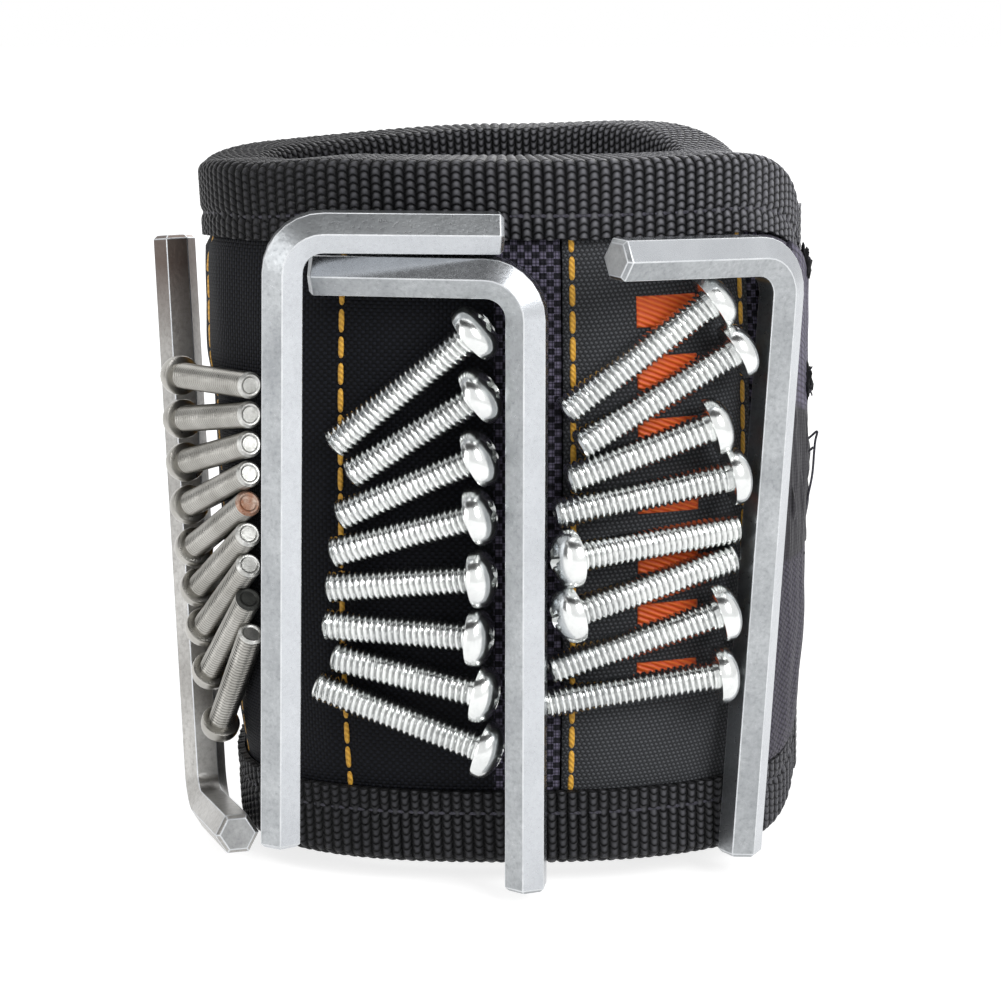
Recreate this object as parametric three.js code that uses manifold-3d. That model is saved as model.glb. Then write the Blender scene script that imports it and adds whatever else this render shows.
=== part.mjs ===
// Magnetic wristband, worn closed, with the hex keys and screws that its magnets hold.
// Millimetres, +Z up, the viewer's side is -Y.
// The band is a spiral: its inner end lies under the right-hand front, it runs round the
// back and the left, covers its own start at the front and ends at the right, where a
// strap goes on round the back to its loop pad.

import * as THREE from 'three';
import { mergeVertices } from 'three/addons/utils/BufferGeometryUtils.js';
import Module from 'manifold-3d';

// Driving sizes of the band
const bandHeight = 91.5;
const halfWidth = 38.5;
const halfDepth = 30;
const baseNarrowing = 3.5;
const baseOffset = 2.6;
const wallBulge = 1.2;
const leftRimDrop = 3;
const endCornerRadius = 9;

// Layers of the wall, from the outside in
const coverThickness = 0.8;
const magnetThickness = 1.6;
const foamThickness = 1.6;
const liningThickness = 0.7;
const seamGap = 0.3;

// Bindings that wrap the edges
const bindingThickness = 1;
const bindingLeg = 10;
const bindingRound = 1.6;
const endBindingWidth = 3;

// Magnets, loop pad and strap
const magnetHeight = 27;
const magnetMargin = 3.5;
const magnetSpacing = 6;
const patchThickness = 1;
const strapWidth = 50;
const strapThickness = 1.3;
const hookThickness = 1;
const hookSetback = 1.5;
const padWidth = 54;
const strapCentreHeight = 48;

// Hex keys
const keySides = 6;
const keyAcrossFlats = 5;
const keyLongArm = 81;
const keyShortArm = 29.5;
const keyBendRadius = 5;
const keyChamfer = 0.5;

// Machine screws
const screwDiameter = 3.7;
const screwHeadDiameter = 7.2;
const slimScrewDiameter = 3.3;
const slimHeadDiameter = 5;
const shortScrewLength = 19;
const longScrewLength = 22.6;
const screwChamfer = 0.4;
const screwHeadHeight = 3;
const screwHeadRim = 0.8;
const recessWidth = 1.1;
const recessSpan = 3.8;
const recessDepth = 1.7;
const cutOverrun = 0.5;
const weldDistance = 0.0001;

// Gap between a held piece and the band
const restGap = 0.3;

// Turns round the band, in degrees seen from above, with 270 at the middle of the front
const innerEndTurn = -50;
const spiralStartTurn = 5;
const spiralEndTurn = 95;
const labelStartTurn = 282.2;
const labelEndTurn = 324.6;
const endCornerTurn = 329;
const wrapEndTurn = 348;
const strapFoldTurn = 384;
const strapEndTurn = 440;
const patchStartTurn = 329;
const padStartTurn = 32;
const padEndTurn = 98;
const panelTurns = [108, 150, 190.6, 231.3, 283.5, 322.3];
const fullTurn = 360;
const turnStep = 6;
const degree = Math.PI / 180;

// Roundness of the loop's outline: 2 is an ellipse, more is squarer
const leftFrontRoundness = 2.8;
const plainRoundness = 2.3;

// How much of a quarter round the outer end's corners make
const cornerReachShare = 0.95;

// How far the upper rim sinks at each turn, as a share of leftRimDrop
const rimDropShares = [
  [-52, 0.6],
  [0, 0.6],
  [40, 0],
  [90, 0.4],
  [150, 0.85],
  [180, 1],
  [212, 0.4],
  [235, 0],
  [320, 0],
  [352, 0.7],
  [440, 0.7],
];

const wallThickness = coverThickness + magnetThickness + foamThickness + liningThickness + 3 * seamGap;
const proud = bindingThickness + seamGap;
const layerShift = wallThickness + 2 * proud + seamGap;
const hookSetbackTurn = hookSetback / halfDepth / degree;
const seamTurn = seamGap / halfDepth / degree;
const endBindingTurn = endBindingWidth / halfDepth / degree;
const outerEndTurn = wrapEndTurn + seamTurn + endBindingTurn;

// Curve of the loop

function ease(value) {
  const t = THREE.MathUtils.clamp(value, 0, 1);
  return t * t * (3 - 2 * t);
}

function spiralInset(turn) {
  return layerShift * (1 - ease((turn - spiralStartTurn) / (spiralEndTurn - spiralStartTurn)));
}

function rimDrop(turn) {
  const last = rimDropShares.length - 1;
  if (turn <= rimDropShares[0][0]) return leftRimDrop * rimDropShares[0][1];
  if (turn >= rimDropShares[last][0]) return leftRimDrop * rimDropShares[last][1];
  const index = rimDropShares.findIndex(([place]) => place > turn);
  const [startTurn, startShare] = rimDropShares[index - 1];
  const [endTurn, endShare] = rimDropShares[index];
  const share = startShare + (endShare - startShare) * ease((turn - startTurn) / (endTurn - startTurn));
  return leftRimDrop * share;
}

function roundnessAt(angle) {
  const atLeftFront = Math.sin(angle) < 0 && Math.cos(angle) < 0;
  return atLeftFront ? leftFrontRoundness : plainRoundness;
}

function outlineRadius(angle, width, depth) {
  const roundness = roundnessAt(angle);
  const across = Math.abs(Math.cos(angle) / width) ** roundness;
  const along = Math.abs(Math.sin(angle) / depth) ** roundness;
  return (across + along) ** (-1 / roundness);
}

function outlinePoint(turn, inset, height) {
  const fall = 1 - height / bandHeight;
  const width = halfWidth - (baseNarrowing / 2) * fall - inset;
  const depth = halfDepth - (baseNarrowing / 2) * fall - inset;
  const radius = outlineRadius(turn * degree, width, depth);
  const x = radius * Math.cos(turn * degree) + baseOffset * fall;
  return new THREE.Vector3(x, radius * Math.sin(turn * degree), height);
}

// The outer end's two corners are rounded off
function cornerCut(turn) {
  if (turn > outerEndTurn) return 0;
  const share = THREE.MathUtils.clamp((turn - endCornerTurn) / (wrapEndTurn - endCornerTurn), 0, 1);
  return endCornerRadius * (1 - Math.sqrt(1 - (cornerReachShare * share) ** 2));
}

function wrapPoint(turn, inset, height) {
  const point = outlinePoint(turn, inset, height);
  const cut = cornerCut(turn);
  const tall = bandHeight - rimDrop(turn) - 2 * cut;
  point.z = cut + (height * tall) / bandHeight;
  return point;
}

// Outward bow of the cover between the bindings
function bulgeAt(height) {
  const share = THREE.MathUtils.clamp((height - bindingLeg) / (bandHeight - 2 * bindingLeg), 0, 1);
  return wallBulge * Math.sin(Math.PI * share);
}

function outwardAt(turn) {
  const roundness = roundnessAt(turn * degree);
  const point = outlinePoint(turn, 0, bandHeight);
  const x = Math.sign(point.x) * Math.abs(point.x / halfWidth) ** (roundness - 1) / halfWidth;
  const y = Math.sign(point.y) * Math.abs(point.y / halfDepth) ** (roundness - 1) / halfDepth;
  return new THREE.Vector3(x, y, 0).normalize();
}

// Solids swept round the loop: the section is a list of [inset, height] corners

function turnsBetween(startTurn, endTurn) {
  const count = Math.max(1, Math.ceil((endTurn - startTurn) / turnStep));
  return Array.from({ length: count + 1 }, (_, i) => startTurn + ((endTurn - startTurn) * i) / count);
}

function sweptSolid(rings) {
  const corners = rings[0].length;
  const lastRing = (rings.length - 1) * corners;
  const positions = rings.flat().flatMap((point) => [point.x, point.y, point.z]);
  const index = [];
  for (let ring = 0; ring + 1 < rings.length; ring += 1) {
    for (let corner = 0; corner < corners; corner += 1) {
      const next = (corner + 1) % corners;
      const a = ring * corners + corner;
      const b = ring * corners + next;
      index.push(a, b, b + corners, a, b + corners, a + corners);
    }
  }
  return { positions, index, lastRing };
}

function closedSweep(rings, section) {
  const { positions, index, lastRing } = sweptSolid(rings);
  const faces = THREE.ShapeUtils.triangulateShape(section, []);
  faces.forEach(([a, b, c]) => {
    index.push(a, c, b);
    index.push(lastRing + a, lastRing + b, lastRing + c);
  });
  const geometry = new THREE.BufferGeometry();
  geometry.setAttribute('position', new THREE.Float32BufferAttribute(positions, 3));
  geometry.setIndex(index);
  geometry.computeVertexNormals();
  return geometry;
}

// The section runs so that its area, as [inset, height], is clockwise seen along the sweep
function sweepAlong(startTurn, endTurn, section, shift) {
  const corners = section.map(([inset, height]) => new THREE.Vector2(inset, height));
  if (THREE.ShapeUtils.isClockWise(corners)) corners.reverse();
  const rings = turnsBetween(startTurn, endTurn).map((turn) =>
    corners.map((corner) => wrapPoint(turn, corner.x + shift(turn), corner.y)),
  );
  return closedSweep(rings, corners);
}

function slab(startTurn, endTurn, outerInset, innerInset, low, high, shift = spiralInset) {
  const section = [
    [outerInset, low],
    [innerInset, low],
    [innerInset, high],
    [outerInset, high],
  ];
  return sweepAlong(startTurn, endTurn, section, shift);
}

// A sheet on the outside of the band, bowed as the cover is
function bowedSheet(startTurn, endTurn, outerInset, innerInset, low, high) {
  const bends = [bindingLeg, bandHeight / 2, bandHeight - bindingLeg];
  const levels = [low, ...bends.filter((level) => level > low && level < high), high];
  const outer = levels.map((height) => [outerInset - bulgeAt(height), height]);
  const inner = levels.map((height) => [innerInset - bulgeAt(height), height]).reverse();
  return sweepAlong(startTurn, endTurn, [...outer, ...inner], spiralInset);
}

// Webbing folded over an edge; the lower one stands flat
function bindingSection(edge, into) {
  const leg = edge + into * bindingLeg;
  const under = edge + into * bindingThickness;
  const bevel = edge + (into * bindingRound) / 3;
  const shoulder = edge + into * bindingRound;
  const outside = -proud;
  const inside = wallThickness + proud;
  return [
    [outside, leg],
    [outside, shoulder],
    [outside + bindingRound / 3, bevel],
    [outside + bindingRound, edge],
    [inside - bindingRound, edge],
    [inside - bindingRound / 3, bevel],
    [inside, shoulder],
    [inside, leg],
    [inside - bindingThickness, leg],
    [inside - bindingThickness, under],
    [outside + bindingThickness, under],
    [outside + bindingThickness, leg],
  ];
}

// Looks of the pieces

function cloth(color, roughness = 0.9) {
  return new THREE.MeshStandardMaterial({ color, roughness, metalness: 0 });
}

function zinc(color = 0xc9cccf) {
  return new THREE.MeshStandardMaterial({ color, roughness: 0.28, metalness: 1 });
}

function magnetic(color) {
  return new THREE.MeshStandardMaterial({ color, roughness: 0.6, metalness: 0.4 });
}

const band = new THREE.Group();

function addPiece(name, geometry, material, parent = band) {
  const mesh = new THREE.Mesh(geometry, material);
  mesh.name = name;
  parent.add(mesh);
  return mesh;
}

// Wall of the band

const coverInner = coverThickness;
const magnetOuter = coverInner + seamGap;
const magnetInner = magnetOuter + magnetThickness;
const foamOuter = magnetInner + seamGap;
const foamInner = foamOuter + foamThickness;
const liningOuter = foamInner + seamGap;
const wallLow = bindingThickness + seamGap;
const wallHigh = bandHeight - wallLow;

function coverSheet(startTurn, endTurn) {
  return bowedSheet(startTurn, endTurn, 0, coverInner, wallLow, wallHigh);
}

function innerSheet(outerInset, innerInset) {
  return slab(innerEndTurn, wrapEndTurn, outerInset, innerInset, wallLow, wallHigh);
}

function addWall() {
  addPiece('outer_cover', coverSheet(innerEndTurn, labelStartTurn - seamTurn), cloth(0x17171a));
  addPiece('label_panel', coverSheet(labelStartTurn, labelEndTurn - seamTurn), cloth(0x2a2b2e));
  addPiece('corner_cover', coverSheet(labelEndTurn, wrapEndTurn), cloth(0x1f1f24));
  addPiece('foam_pad', innerSheet(foamOuter, foamInner), cloth(0x303030));
  addPiece('mesh_lining', innerSheet(liningOuter, wallThickness), cloth(0x121214));
}

function addMagnets() {
  const marginTurn = magnetMargin / halfDepth / degree;
  const lowerStart = bandHeight / 2 - magnetSpacing / 2 - magnetHeight;
  const upperStart = bandHeight / 2 + magnetSpacing / 2;
  let count = 0;
  for (let panel = 0; panel + 1 < panelTurns.length; panel += 1) {
    const startTurn = panelTurns[panel] + marginTurn;
    const endTurn = panelTurns[panel + 1] - marginTurn;
    for (const bottom of [lowerStart, upperStart]) {
      count += 1;
      const top = bottom + magnetHeight;
      const sheet = slab(startTurn, endTurn, magnetOuter, magnetInner, bottom, top);
      addPiece(`magnet_${count}`, sheet, magnetic(0x3a3a3c));
    }
  }
}

// Bindings of the two long edges and of the two ends

function addBindings() {
  const webbing = 0x1b1b1d;
  const inside = wallThickness + proud;
  const upper = sweepAlong(innerEndTurn, wrapEndTurn, bindingSection(bandHeight, -1), spiralInset);
  addPiece('top_binding', upper, cloth(webbing));
  const lower = sweepAlong(innerEndTurn, wrapEndTurn, bindingSection(0, 1), spiralInset);
  addPiece('bottom_binding', lower, cloth(webbing));
  const innerEdge = innerEndTurn - seamTurn;
  const innerEnd = slab(innerEdge - endBindingTurn, innerEdge, -proud, inside, 0, bandHeight);
  addPiece('inner_end_binding', innerEnd, cloth(webbing));
  const outerEnd = slab(wrapEndTurn + seamTurn, outerEndTurn, -proud, inside, 0, bandHeight);
  addPiece('outer_end_binding', outerEnd, cloth(webbing));
}

// Patch under the strap's root, strap in two lengths with its hook tape, and the loop pad

const strapRootTurn = outerEndTurn + seamTurn;
const strapLow = strapCentreHeight - strapWidth / 2;
const strapHigh = strapCentreHeight + strapWidth / 2;

function padSurface(turn) {
  return spiralInset(turn - fullTurn) - seamGap - patchThickness - wallBulge;
}

function strapShift(turn) {
  const rootInset = wallThickness / 2 - strapThickness / 2;
  const laid = padSurface(turn) - seamGap - hookThickness - seamGap - strapThickness;
  const along = (turn - strapRootTurn) / (strapFoldTurn - strapRootTurn);
  return THREE.MathUtils.lerp(rootInset, laid, ease(along));
}

function addStrap() {
  const patchOuter = -seamGap - patchThickness;
  const patchLow = bindingLeg + seamGap;
  const patchHigh = bandHeight - patchLow;
  const patch = bowedSheet(patchStartTurn, wrapEndTurn, patchOuter, -seamGap, patchLow, patchHigh);
  addPiece('strap_anchor_patch', patch, cloth(0x33333c));
  const padLow = strapCentreHeight - padWidth / 2;
  const padHigh = strapCentreHeight + padWidth / 2;
  const pad = bowedSheet(padStartTurn, padEndTurn, patchOuter, -seamGap, padLow, padHigh);
  addPiece('loop_pad', pad, cloth(0x141416));
  const root = slab(strapRootTurn, strapFoldTurn, 0, strapThickness, strapLow, strapHigh, strapShift);
  addPiece('strap_root', root, cloth(0x26262b));
  const tipStart = strapFoldTurn + seamTurn;
  const tip = slab(tipStart, strapEndTurn, 0, strapThickness, strapLow, strapHigh, strapShift);
  addPiece('strap_tip', tip, cloth(0x26262b));
  const hookOuter = strapThickness + seamGap;
  const hookInner = hookOuter + hookThickness;
  const hookStart = tipStart + hookSetbackTurn;
  const hook = slab(hookStart, strapEndTurn, hookOuter, hookInner, strapLow, strapHigh, strapShift);
  addPiece('strap_hook_tape', hook, cloth(0x0e0e10));
}

// Clearance between a point and the band's outer face, bindings included

function gapToBand(point, reach) {
  const height = THREE.MathUtils.clamp(point.z, 0, bandHeight);
  const onBinding = point.z - reach < bindingLeg || point.z + reach > bandHeight - bindingLeg;
  const fall = 1 - height / bandHeight;
  const x = point.x - baseOffset * fall;
  const turn = Math.atan2(point.y, x) / degree;
  const face = outlinePoint(turn, onBinding ? -proud : -bulgeAt(height), height);
  const radial = Math.hypot(x, point.y) - Math.hypot(face.x - baseOffset * fall, face.y);
  const outward = outwardAt(turn);
  const slope = (outward.x * x + outward.y * point.y) / Math.hypot(x, point.y);
  return radial * slope;
}

function levelDirection(turn) {
  return new THREE.Vector3(Math.cos(turn * degree), Math.sin(turn * degree), 0);
}

// Moves a held piece along its lift direction until its closest sample rests at restGap
function seat(samples, lift) {
  const sampleCopies = samples.map(({ point, reach }) => ({ point: point.clone(), reach }));
  let moved = 0;
  const passes = 12;
  for (let pass = 0; pass < passes; pass += 1) {
    const gaps = sampleCopies.map(({ point, reach }) => gapToBand(point, reach) - reach);
    const step = restGap - Math.min(...gaps);
    sampleCopies.forEach(({ point }) => point.addScaledVector(lift, step));
    moved += step;
  }
  return moved;
}

// Hex keys

// Six corners of the section; one corner points straight out of the plane of the bend
function hexCorners(size) {
  const step = (fullTurn * degree) / keySides;
  const radius = size / 2 / Math.cos(step / 2);
  return Array.from({ length: keySides }, (_, i) => {
    const angle = step * i + 90 * degree;
    return new THREE.Vector2(radius * Math.cos(angle), radius * Math.sin(angle));
  });
}

// Local axes: the long arm runs down -Z, the short arm along +X, +Y is out of the plane
function hexKeyGeometry() {
  const half = keyAcrossFlats / 2;
  const longEnd = -(keyLongArm - half);
  const shortEnd = keyShortArm - half;
  const bendSteps = 7;
  const stations = [];
  const addStation = (x, z, angle, size) => stations.push({ x, z, angle, size });
  addStation(0, longEnd, 0, keyAcrossFlats - 2 * keyChamfer);
  addStation(0, longEnd + keyChamfer, 0, keyAcrossFlats);
  for (let step = 0; step <= bendSteps; step += 1) {
    const angle = (90 * degree * step) / bendSteps;
    const x = keyBendRadius * (1 - Math.cos(angle));
    const z = -keyBendRadius * (1 - Math.sin(angle));
    addStation(x, z, angle, keyAcrossFlats);
  }
  addStation(shortEnd - keyChamfer, 0, 90 * degree, keyAcrossFlats);
  addStation(shortEnd, 0, 90 * degree, keyAcrossFlats - 2 * keyChamfer);
  const rings = stations.map(({ x, z, angle, size }) =>
    hexCorners(size).map((corner) => {
      const sideways = new THREE.Vector3(Math.cos(angle), 0, -Math.sin(angle));
      return new THREE.Vector3(x, corner.y, z).addScaledVector(sideways, corner.x);
    }),
  );
  return closedSweep(rings, hexCorners(keyAcrossFlats));
}

// Each key: the corner where its two axes meet, as shares of halfWidth, halfDepth and
// bandHeight, the turn its plane faces, how far it leans in that plane, how far it pitches
// out at its foot, which way its short arm points and the turn it lifts off along
const keyPlaces = {
  hex_key_side: {
    cornerShares: [-1, 0, -0.009], faceTurn: 194, lean: 171.5, pitch: -0.9, flip: -1, liftTurn: 180,
  },
  hex_key_left: {
    cornerShares: [-0.69, -1.1, 0.911], faceTurn: 274, lean: 1, pitch: -0.8, flip: 1, liftTurn: 270,
  },
  hex_key_middle: {
    cornerShares: [0.0845, -1.1, 0.846], faceTurn: 262, lean: 0, pitch: 0.2, flip: -1, liftTurn: 270,
  },
  hex_key_right: {
    cornerShares: [0.951, -0.85, 0.862], faceTurn: 306, lean: 3.2, pitch: -1.2, flip: -1, liftTurn: 306,
  },
};

function planeAxes({ faceTurn, lean, pitch, flip }) {
  const outward = levelDirection(faceTurn);
  const right = new THREE.Vector3(0, 0, 1).cross(outward).normalize();
  const up = new THREE.Vector3(0, 0, 1);
  up.applyAxisAngle(right, -pitch * degree);
  outward.applyAxisAngle(right, -pitch * degree);
  right.applyAxisAngle(outward, -lean * degree);
  up.applyAxisAngle(outward, -lean * degree);
  return { outward: outward.multiplyScalar(flip), right: right.multiplyScalar(flip), up };
}

function addHexKeys() {
  const geometry = hexKeyGeometry();
  const reach = hexCorners(keyAcrossFlats)[0].length();
  for (const [name, place] of Object.entries(keyPlaces)) {
    const { outward, right, up } = planeAxes(place);
    const corner = new THREE.Vector3(halfWidth, halfDepth, bandHeight);
    corner.multiply(new THREE.Vector3(...place.cornerShares));
    const liftWay = levelDirection(place.liftTurn);
    const samples = [];
    const sampleCount = 24;
    for (let i = 0; i <= sampleCount; i += 1) {
      const along = ((keyLongArm - keyAcrossFlats / 2) * i) / sampleCount;
      const across = ((keyShortArm - keyAcrossFlats / 2) * i) / sampleCount;
      samples.push({ point: corner.clone().addScaledVector(up, -along), reach });
      samples.push({ point: corner.clone().addScaledVector(right, across), reach });
    }
    corner.addScaledVector(liftWay, seat(samples, liftWay));
    const mesh = addPiece(name, geometry.clone(), zinc(0xc4c8cc));
    const basis = new THREE.Matrix4().makeBasis(right, outward.negate(), up);
    mesh.quaternion.setFromRotationMatrix(basis);
    mesh.position.copy(corner);
  }
}

// Machine screws

const wasm = await Module();
wasm.setup();

function toSolid(geometry) {
  const bare = geometry.clone();
  bare.deleteAttribute('normal');
  bare.deleteAttribute('uv');
  const merged = mergeVertices(bare, weldDistance);
  const vertProperties = new Float32Array(merged.attributes.position.array);
  const triVerts = new Uint32Array(merged.index.array);
  return new wasm.Manifold(new wasm.Mesh({ numProp: 3, vertProperties, triVerts }));
}

function fromSolid(solid) {
  const { numProp, vertProperties, triVerts } = solid.getMesh();
  const geometry = new THREE.BufferGeometry();
  const count = vertProperties.length / numProp;
  const positions = new Float32Array(count * 3);
  for (let i = 0; i < count; i += 1) {
    for (let axis = 0; axis < 3; axis += 1) {
      positions[3 * i + axis] = vertProperties[numProp * i + axis];
    }
  }
  geometry.setAttribute('position', new THREE.BufferAttribute(positions, 3));
  geometry.setIndex(Array.from(triVerts));
  geometry.computeVertexNormals();
  return geometry;
}

// The screw stands on its tip at the origin with its head at the top of +Z
function screwGeometry(length, radius, headRadius) {
  const domeSteps = 3;
  const domeSpread = 75 * degree;
  const sides = 12;
  const profile = [
    new THREE.Vector2(0, 0),
    new THREE.Vector2(radius - screwChamfer, 0),
    new THREE.Vector2(radius, screwChamfer),
    new THREE.Vector2(radius, length),
    new THREE.Vector2(headRadius, length),
    new THREE.Vector2(headRadius, length + screwHeadRim),
  ];
  for (let step = 1; step <= domeSteps; step += 1) {
    const angle = (domeSpread * step) / domeSteps;
    const height = screwHeadRim + (screwHeadHeight - screwHeadRim) * Math.sin(angle);
    profile.push(new THREE.Vector2(headRadius * Math.cos(angle), length + height));
  }
  profile.push(new THREE.Vector2(0, length + screwHeadHeight));
  const turned = new THREE.LatheGeometry(profile, sides);
  turned.rotateX(90 * degree);
  let solid = toSolid(turned);
  const cutHeight = recessDepth + cutOverrun;
  for (const [width, depth] of [[recessSpan, recessWidth], [recessWidth, recessSpan]]) {
    const slot = new THREE.BoxGeometry(width, depth, cutHeight);
    slot.translate(0, 0, length + screwHeadHeight - recessDepth + cutHeight / 2);
    solid = solid.subtract(toSolid(slot));
  }
  return fromSolid(solid);
}

// The slim screws of the left column, the short ones and the long ones
const screwKinds = {
  slim: { length: shortScrewLength, radius: slimScrewDiameter / 2, headRadius: slimHeadDiameter / 2 },
  short: { length: shortScrewLength, radius: screwDiameter / 2, headRadius: screwHeadDiameter / 2 },
  long: { length: longScrewLength, radius: screwDiameter / 2, headRadius: screwHeadDiameter / 2 },
};

// Each screw: how far its tip lies across the front and how high, then the same for the
// underside of its head, as shares of halfWidth and bandHeight, and its kind
const screwShares = {
  left: [
    [-0.7978, 0.682, -0.9802, 0.668, 'slim'],
    [-0.8027, 0.639, -0.9802, 0.607, 'slim'],
    [-0.8059, 0.596, -0.9802, 0.546, 'slim'],
    [-0.8126, 0.552, -0.9802, 0.485, 'slim'],
    [-0.8213, 0.508, -0.9802, 0.424, 'slim'],
    [-0.8241, 0.464, -0.9812, 0.363, 'slim'],
    [-0.8259, 0.42, -0.9812, 0.303, 'slim'],
    [-0.8397, 0.3695, -0.9812, 0.2375, 'slim'],
    [-0.8510, 0.314, -0.9720, 0.1665, 'slim'],
  ],
  middle: [
    [-0.5510, 0.607, -0.1067, 0.767, 'long'],
    [-0.4977, 0.568, -0.1011, 0.681, 'short'],
    [-0.5396, 0.509, -0.1094, 0.597, 'short'],
    [-0.5688, 0.456, -0.1177, 0.517, 'short'],
    [-0.5882, 0.406, -0.1233, 0.43, 'short'],
    [-0.6108, 0.352, -0.1372, 0.347, 'short'],
    [-0.5850, 0.306, -0.1316, 0.266, 'short'],
    [-0.6525, 0.262, -0.1233, 0.186, 'long'],
  ],
  right: [
    [0.1770, 0.658, 0.6143, 0.801, 'long'],
    [0.2303, 0.6145, 0.6658, 0.7285, 'long'],
    [0.2022, 0.568, 0.5837, 0.6275, 'short'],
    [0.1534, 0.518, 0.6431, 0.559, 'long'],
    [0.7132, 0.4815, 0.1910, 0.4605, 'long'],
    [0.7008, 0.438, 0.1938, 0.383, 'long'],
    [0.1216, 0.296, 0.6186, 0.364, 'long'],
    [0.1106, 0.247, 0.6085, 0.276, 'long'],
  ],
};
const columnLiftTurns = { left: 203, middle: 270, right: 270 };

// A point that rests on the front half of the band
function restingPoint(acrossShare, heightShare, reach) {
  const height = heightShare * bandHeight;
  const roundness = acrossShare < 0 ? leftFrontRoundness : plainRoundness;
  const forward = (1 - Math.abs(acrossShare) ** roundness) ** (1 / roundness);
  const turn = Math.atan2(-forward * halfDepth, acrossShare * halfWidth) / degree;
  const face = outlinePoint(turn, -bulgeAt(height), height);
  return face.addScaledVector(outwardAt(turn), reach + restGap);
}

function addScrews() {
  const shared = {};
  for (const [kind, { length, radius, headRadius }] of Object.entries(screwKinds)) {
    shared[kind] = screwGeometry(length, radius, headRadius);
  }
  for (const [column, rows] of Object.entries(screwShares)) {
    const liftWay = levelDirection(columnLiftTurns[column]);
    rows.forEach(([tipAcross, tipHeight, headAcross, headHeight, kind], row) => {
      const { length, radius, headRadius } = screwKinds[kind];
      const tip = restingPoint(tipAcross, tipHeight, radius);
      const head = restingPoint(headAcross, headHeight, headRadius);
      const along = head.clone().sub(tip).normalize();
      const middle = tip.clone().add(head).multiplyScalar(0.5);
      const start = middle.clone().addScaledVector(along, -length / 2);
      const samples = [];
      const addSample = (distance, reach) => {
        samples.push({ point: start.clone().addScaledVector(along, distance), reach });
      };
      const sampleCount = 12;
      for (let i = 0; i <= sampleCount; i += 1) addSample((length * i) / sampleCount, radius);
      addSample(length, headRadius);
      addSample(length + screwHeadRim, headRadius);
      start.addScaledVector(liftWay, seat(samples, liftWay));
      const mesh = addPiece(`screw_${column}_${row + 1}`, shared[kind].clone(), zinc());
      mesh.quaternion.setFromUnitVectors(new THREE.Vector3(0, 0, 1), along);
      mesh.position.copy(start);
    });
  }
}

addWall();
addMagnets();
addBindings();
addStrap();
addHexKeys();
addScrews();

// The origin is under the middle of the whole, at its lowest point
const wholeBox = new THREE.Box3().setFromObject(band, true);
const middle = wholeBox.getCenter(new THREE.Vector3());
band.position.set(-middle.x, -middle.y, -wholeBox.min.z);

export default band;
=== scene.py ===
# Magnetic wristband worn closed, with the hex keys and screws its magnets hold
import math
import random

import bmesh
import bpy
import numpy as np
from mathutils import Matrix, Vector, noise


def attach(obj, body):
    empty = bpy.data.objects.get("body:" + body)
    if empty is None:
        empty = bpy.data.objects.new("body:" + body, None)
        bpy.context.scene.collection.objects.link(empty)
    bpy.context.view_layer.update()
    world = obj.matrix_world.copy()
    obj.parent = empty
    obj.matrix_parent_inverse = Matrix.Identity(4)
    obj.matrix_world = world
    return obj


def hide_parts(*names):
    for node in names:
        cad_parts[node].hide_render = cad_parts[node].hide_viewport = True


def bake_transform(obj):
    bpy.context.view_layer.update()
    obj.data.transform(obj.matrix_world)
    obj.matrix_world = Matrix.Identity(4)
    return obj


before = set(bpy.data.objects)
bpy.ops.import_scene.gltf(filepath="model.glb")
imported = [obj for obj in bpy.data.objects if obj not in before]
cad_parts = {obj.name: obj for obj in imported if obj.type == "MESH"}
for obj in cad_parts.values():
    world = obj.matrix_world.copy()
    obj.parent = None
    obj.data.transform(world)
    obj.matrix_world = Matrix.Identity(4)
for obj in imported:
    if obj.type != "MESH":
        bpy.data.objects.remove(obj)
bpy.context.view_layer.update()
mm = 0.001
print("frame loaded")

# the curve of the band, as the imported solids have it, in millimetres and degrees
loop = {
    "origin": (3.399, 3.954, 2.640),
    "height": 91.5,
    "halfWidth": 38.5,
    "halfDepth": 30,
    "baseNarrowing": 3.5,
    "baseOffset": 2.6,
    "bulge": 1.2,
    "bulgePower": 0.6,
    "leftRimDrop": 3,
    "endCornerRadius": 9,
    "endCornerTurn": 329,
    "cornerReach": 0.95,
    "wrapEnd": 348,
    "innerEnd": -50,
    "spiralTurns": (5, 95),
    "roundness": (2.8, 2.3),
    "wall": 5.6,
    "cover": 0.8,
    "seam": 0.3,
    "bindingLeg": 10,
    "bindingThickness": 1,
    "bindingRound": 1.6,
    "endBindingWidth": 3,
    "measuredLevel": 45,
    "laidLevel": 48,
    "rimDrops": [(-52, 0.6), (0, 0.6), (40, 0), (90, 0.4), (150, 0.85), (180, 1),
                 (212, 0.4), (235, 0), (320, 0), (352, 0.7), (440, 0.7)],
}
proud = loop["bindingThickness"] + loop["seam"]
layerShift = loop["wall"] + 2 * proud + loop["seam"]
seamTurn = math.degrees(loop["seam"] / loop["halfDepth"])
endBindingTurn = math.degrees(loop["endBindingWidth"] / loop["halfDepth"])
outerEndTurn = loop["wrapEnd"] + seamTurn + endBindingTurn
wallLow = proud
wallHigh = loop["height"] - proud


def easeOf(value):
    t = np.clip(value, 0, 1)
    return t * t * (3 - 2 * t)


def risen(value, start, way):  # 0 up to the start, 1 past the way after it
    return easeOf((value - start) / way)


def fallen(value, end, way):  # 1 until the way before the end, 0 past it
    return easeOf((end - value) / way)


def spiralInset(turn):
    first, last = loop["spiralTurns"]
    return layerShift * (1 - risen(turn, first, last - first))


def rimDrop(turn):
    places, shares = (np.array(column, float) for column in zip(*loop["rimDrops"]))
    i = np.clip(np.searchsorted(places, turn, side="right") - 1, 0, len(places) - 2)
    t = risen(turn, places[i], places[i + 1] - places[i])
    return loop["leftRimDrop"] * (shares[i] + (shares[i + 1] - shares[i]) * t)


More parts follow.
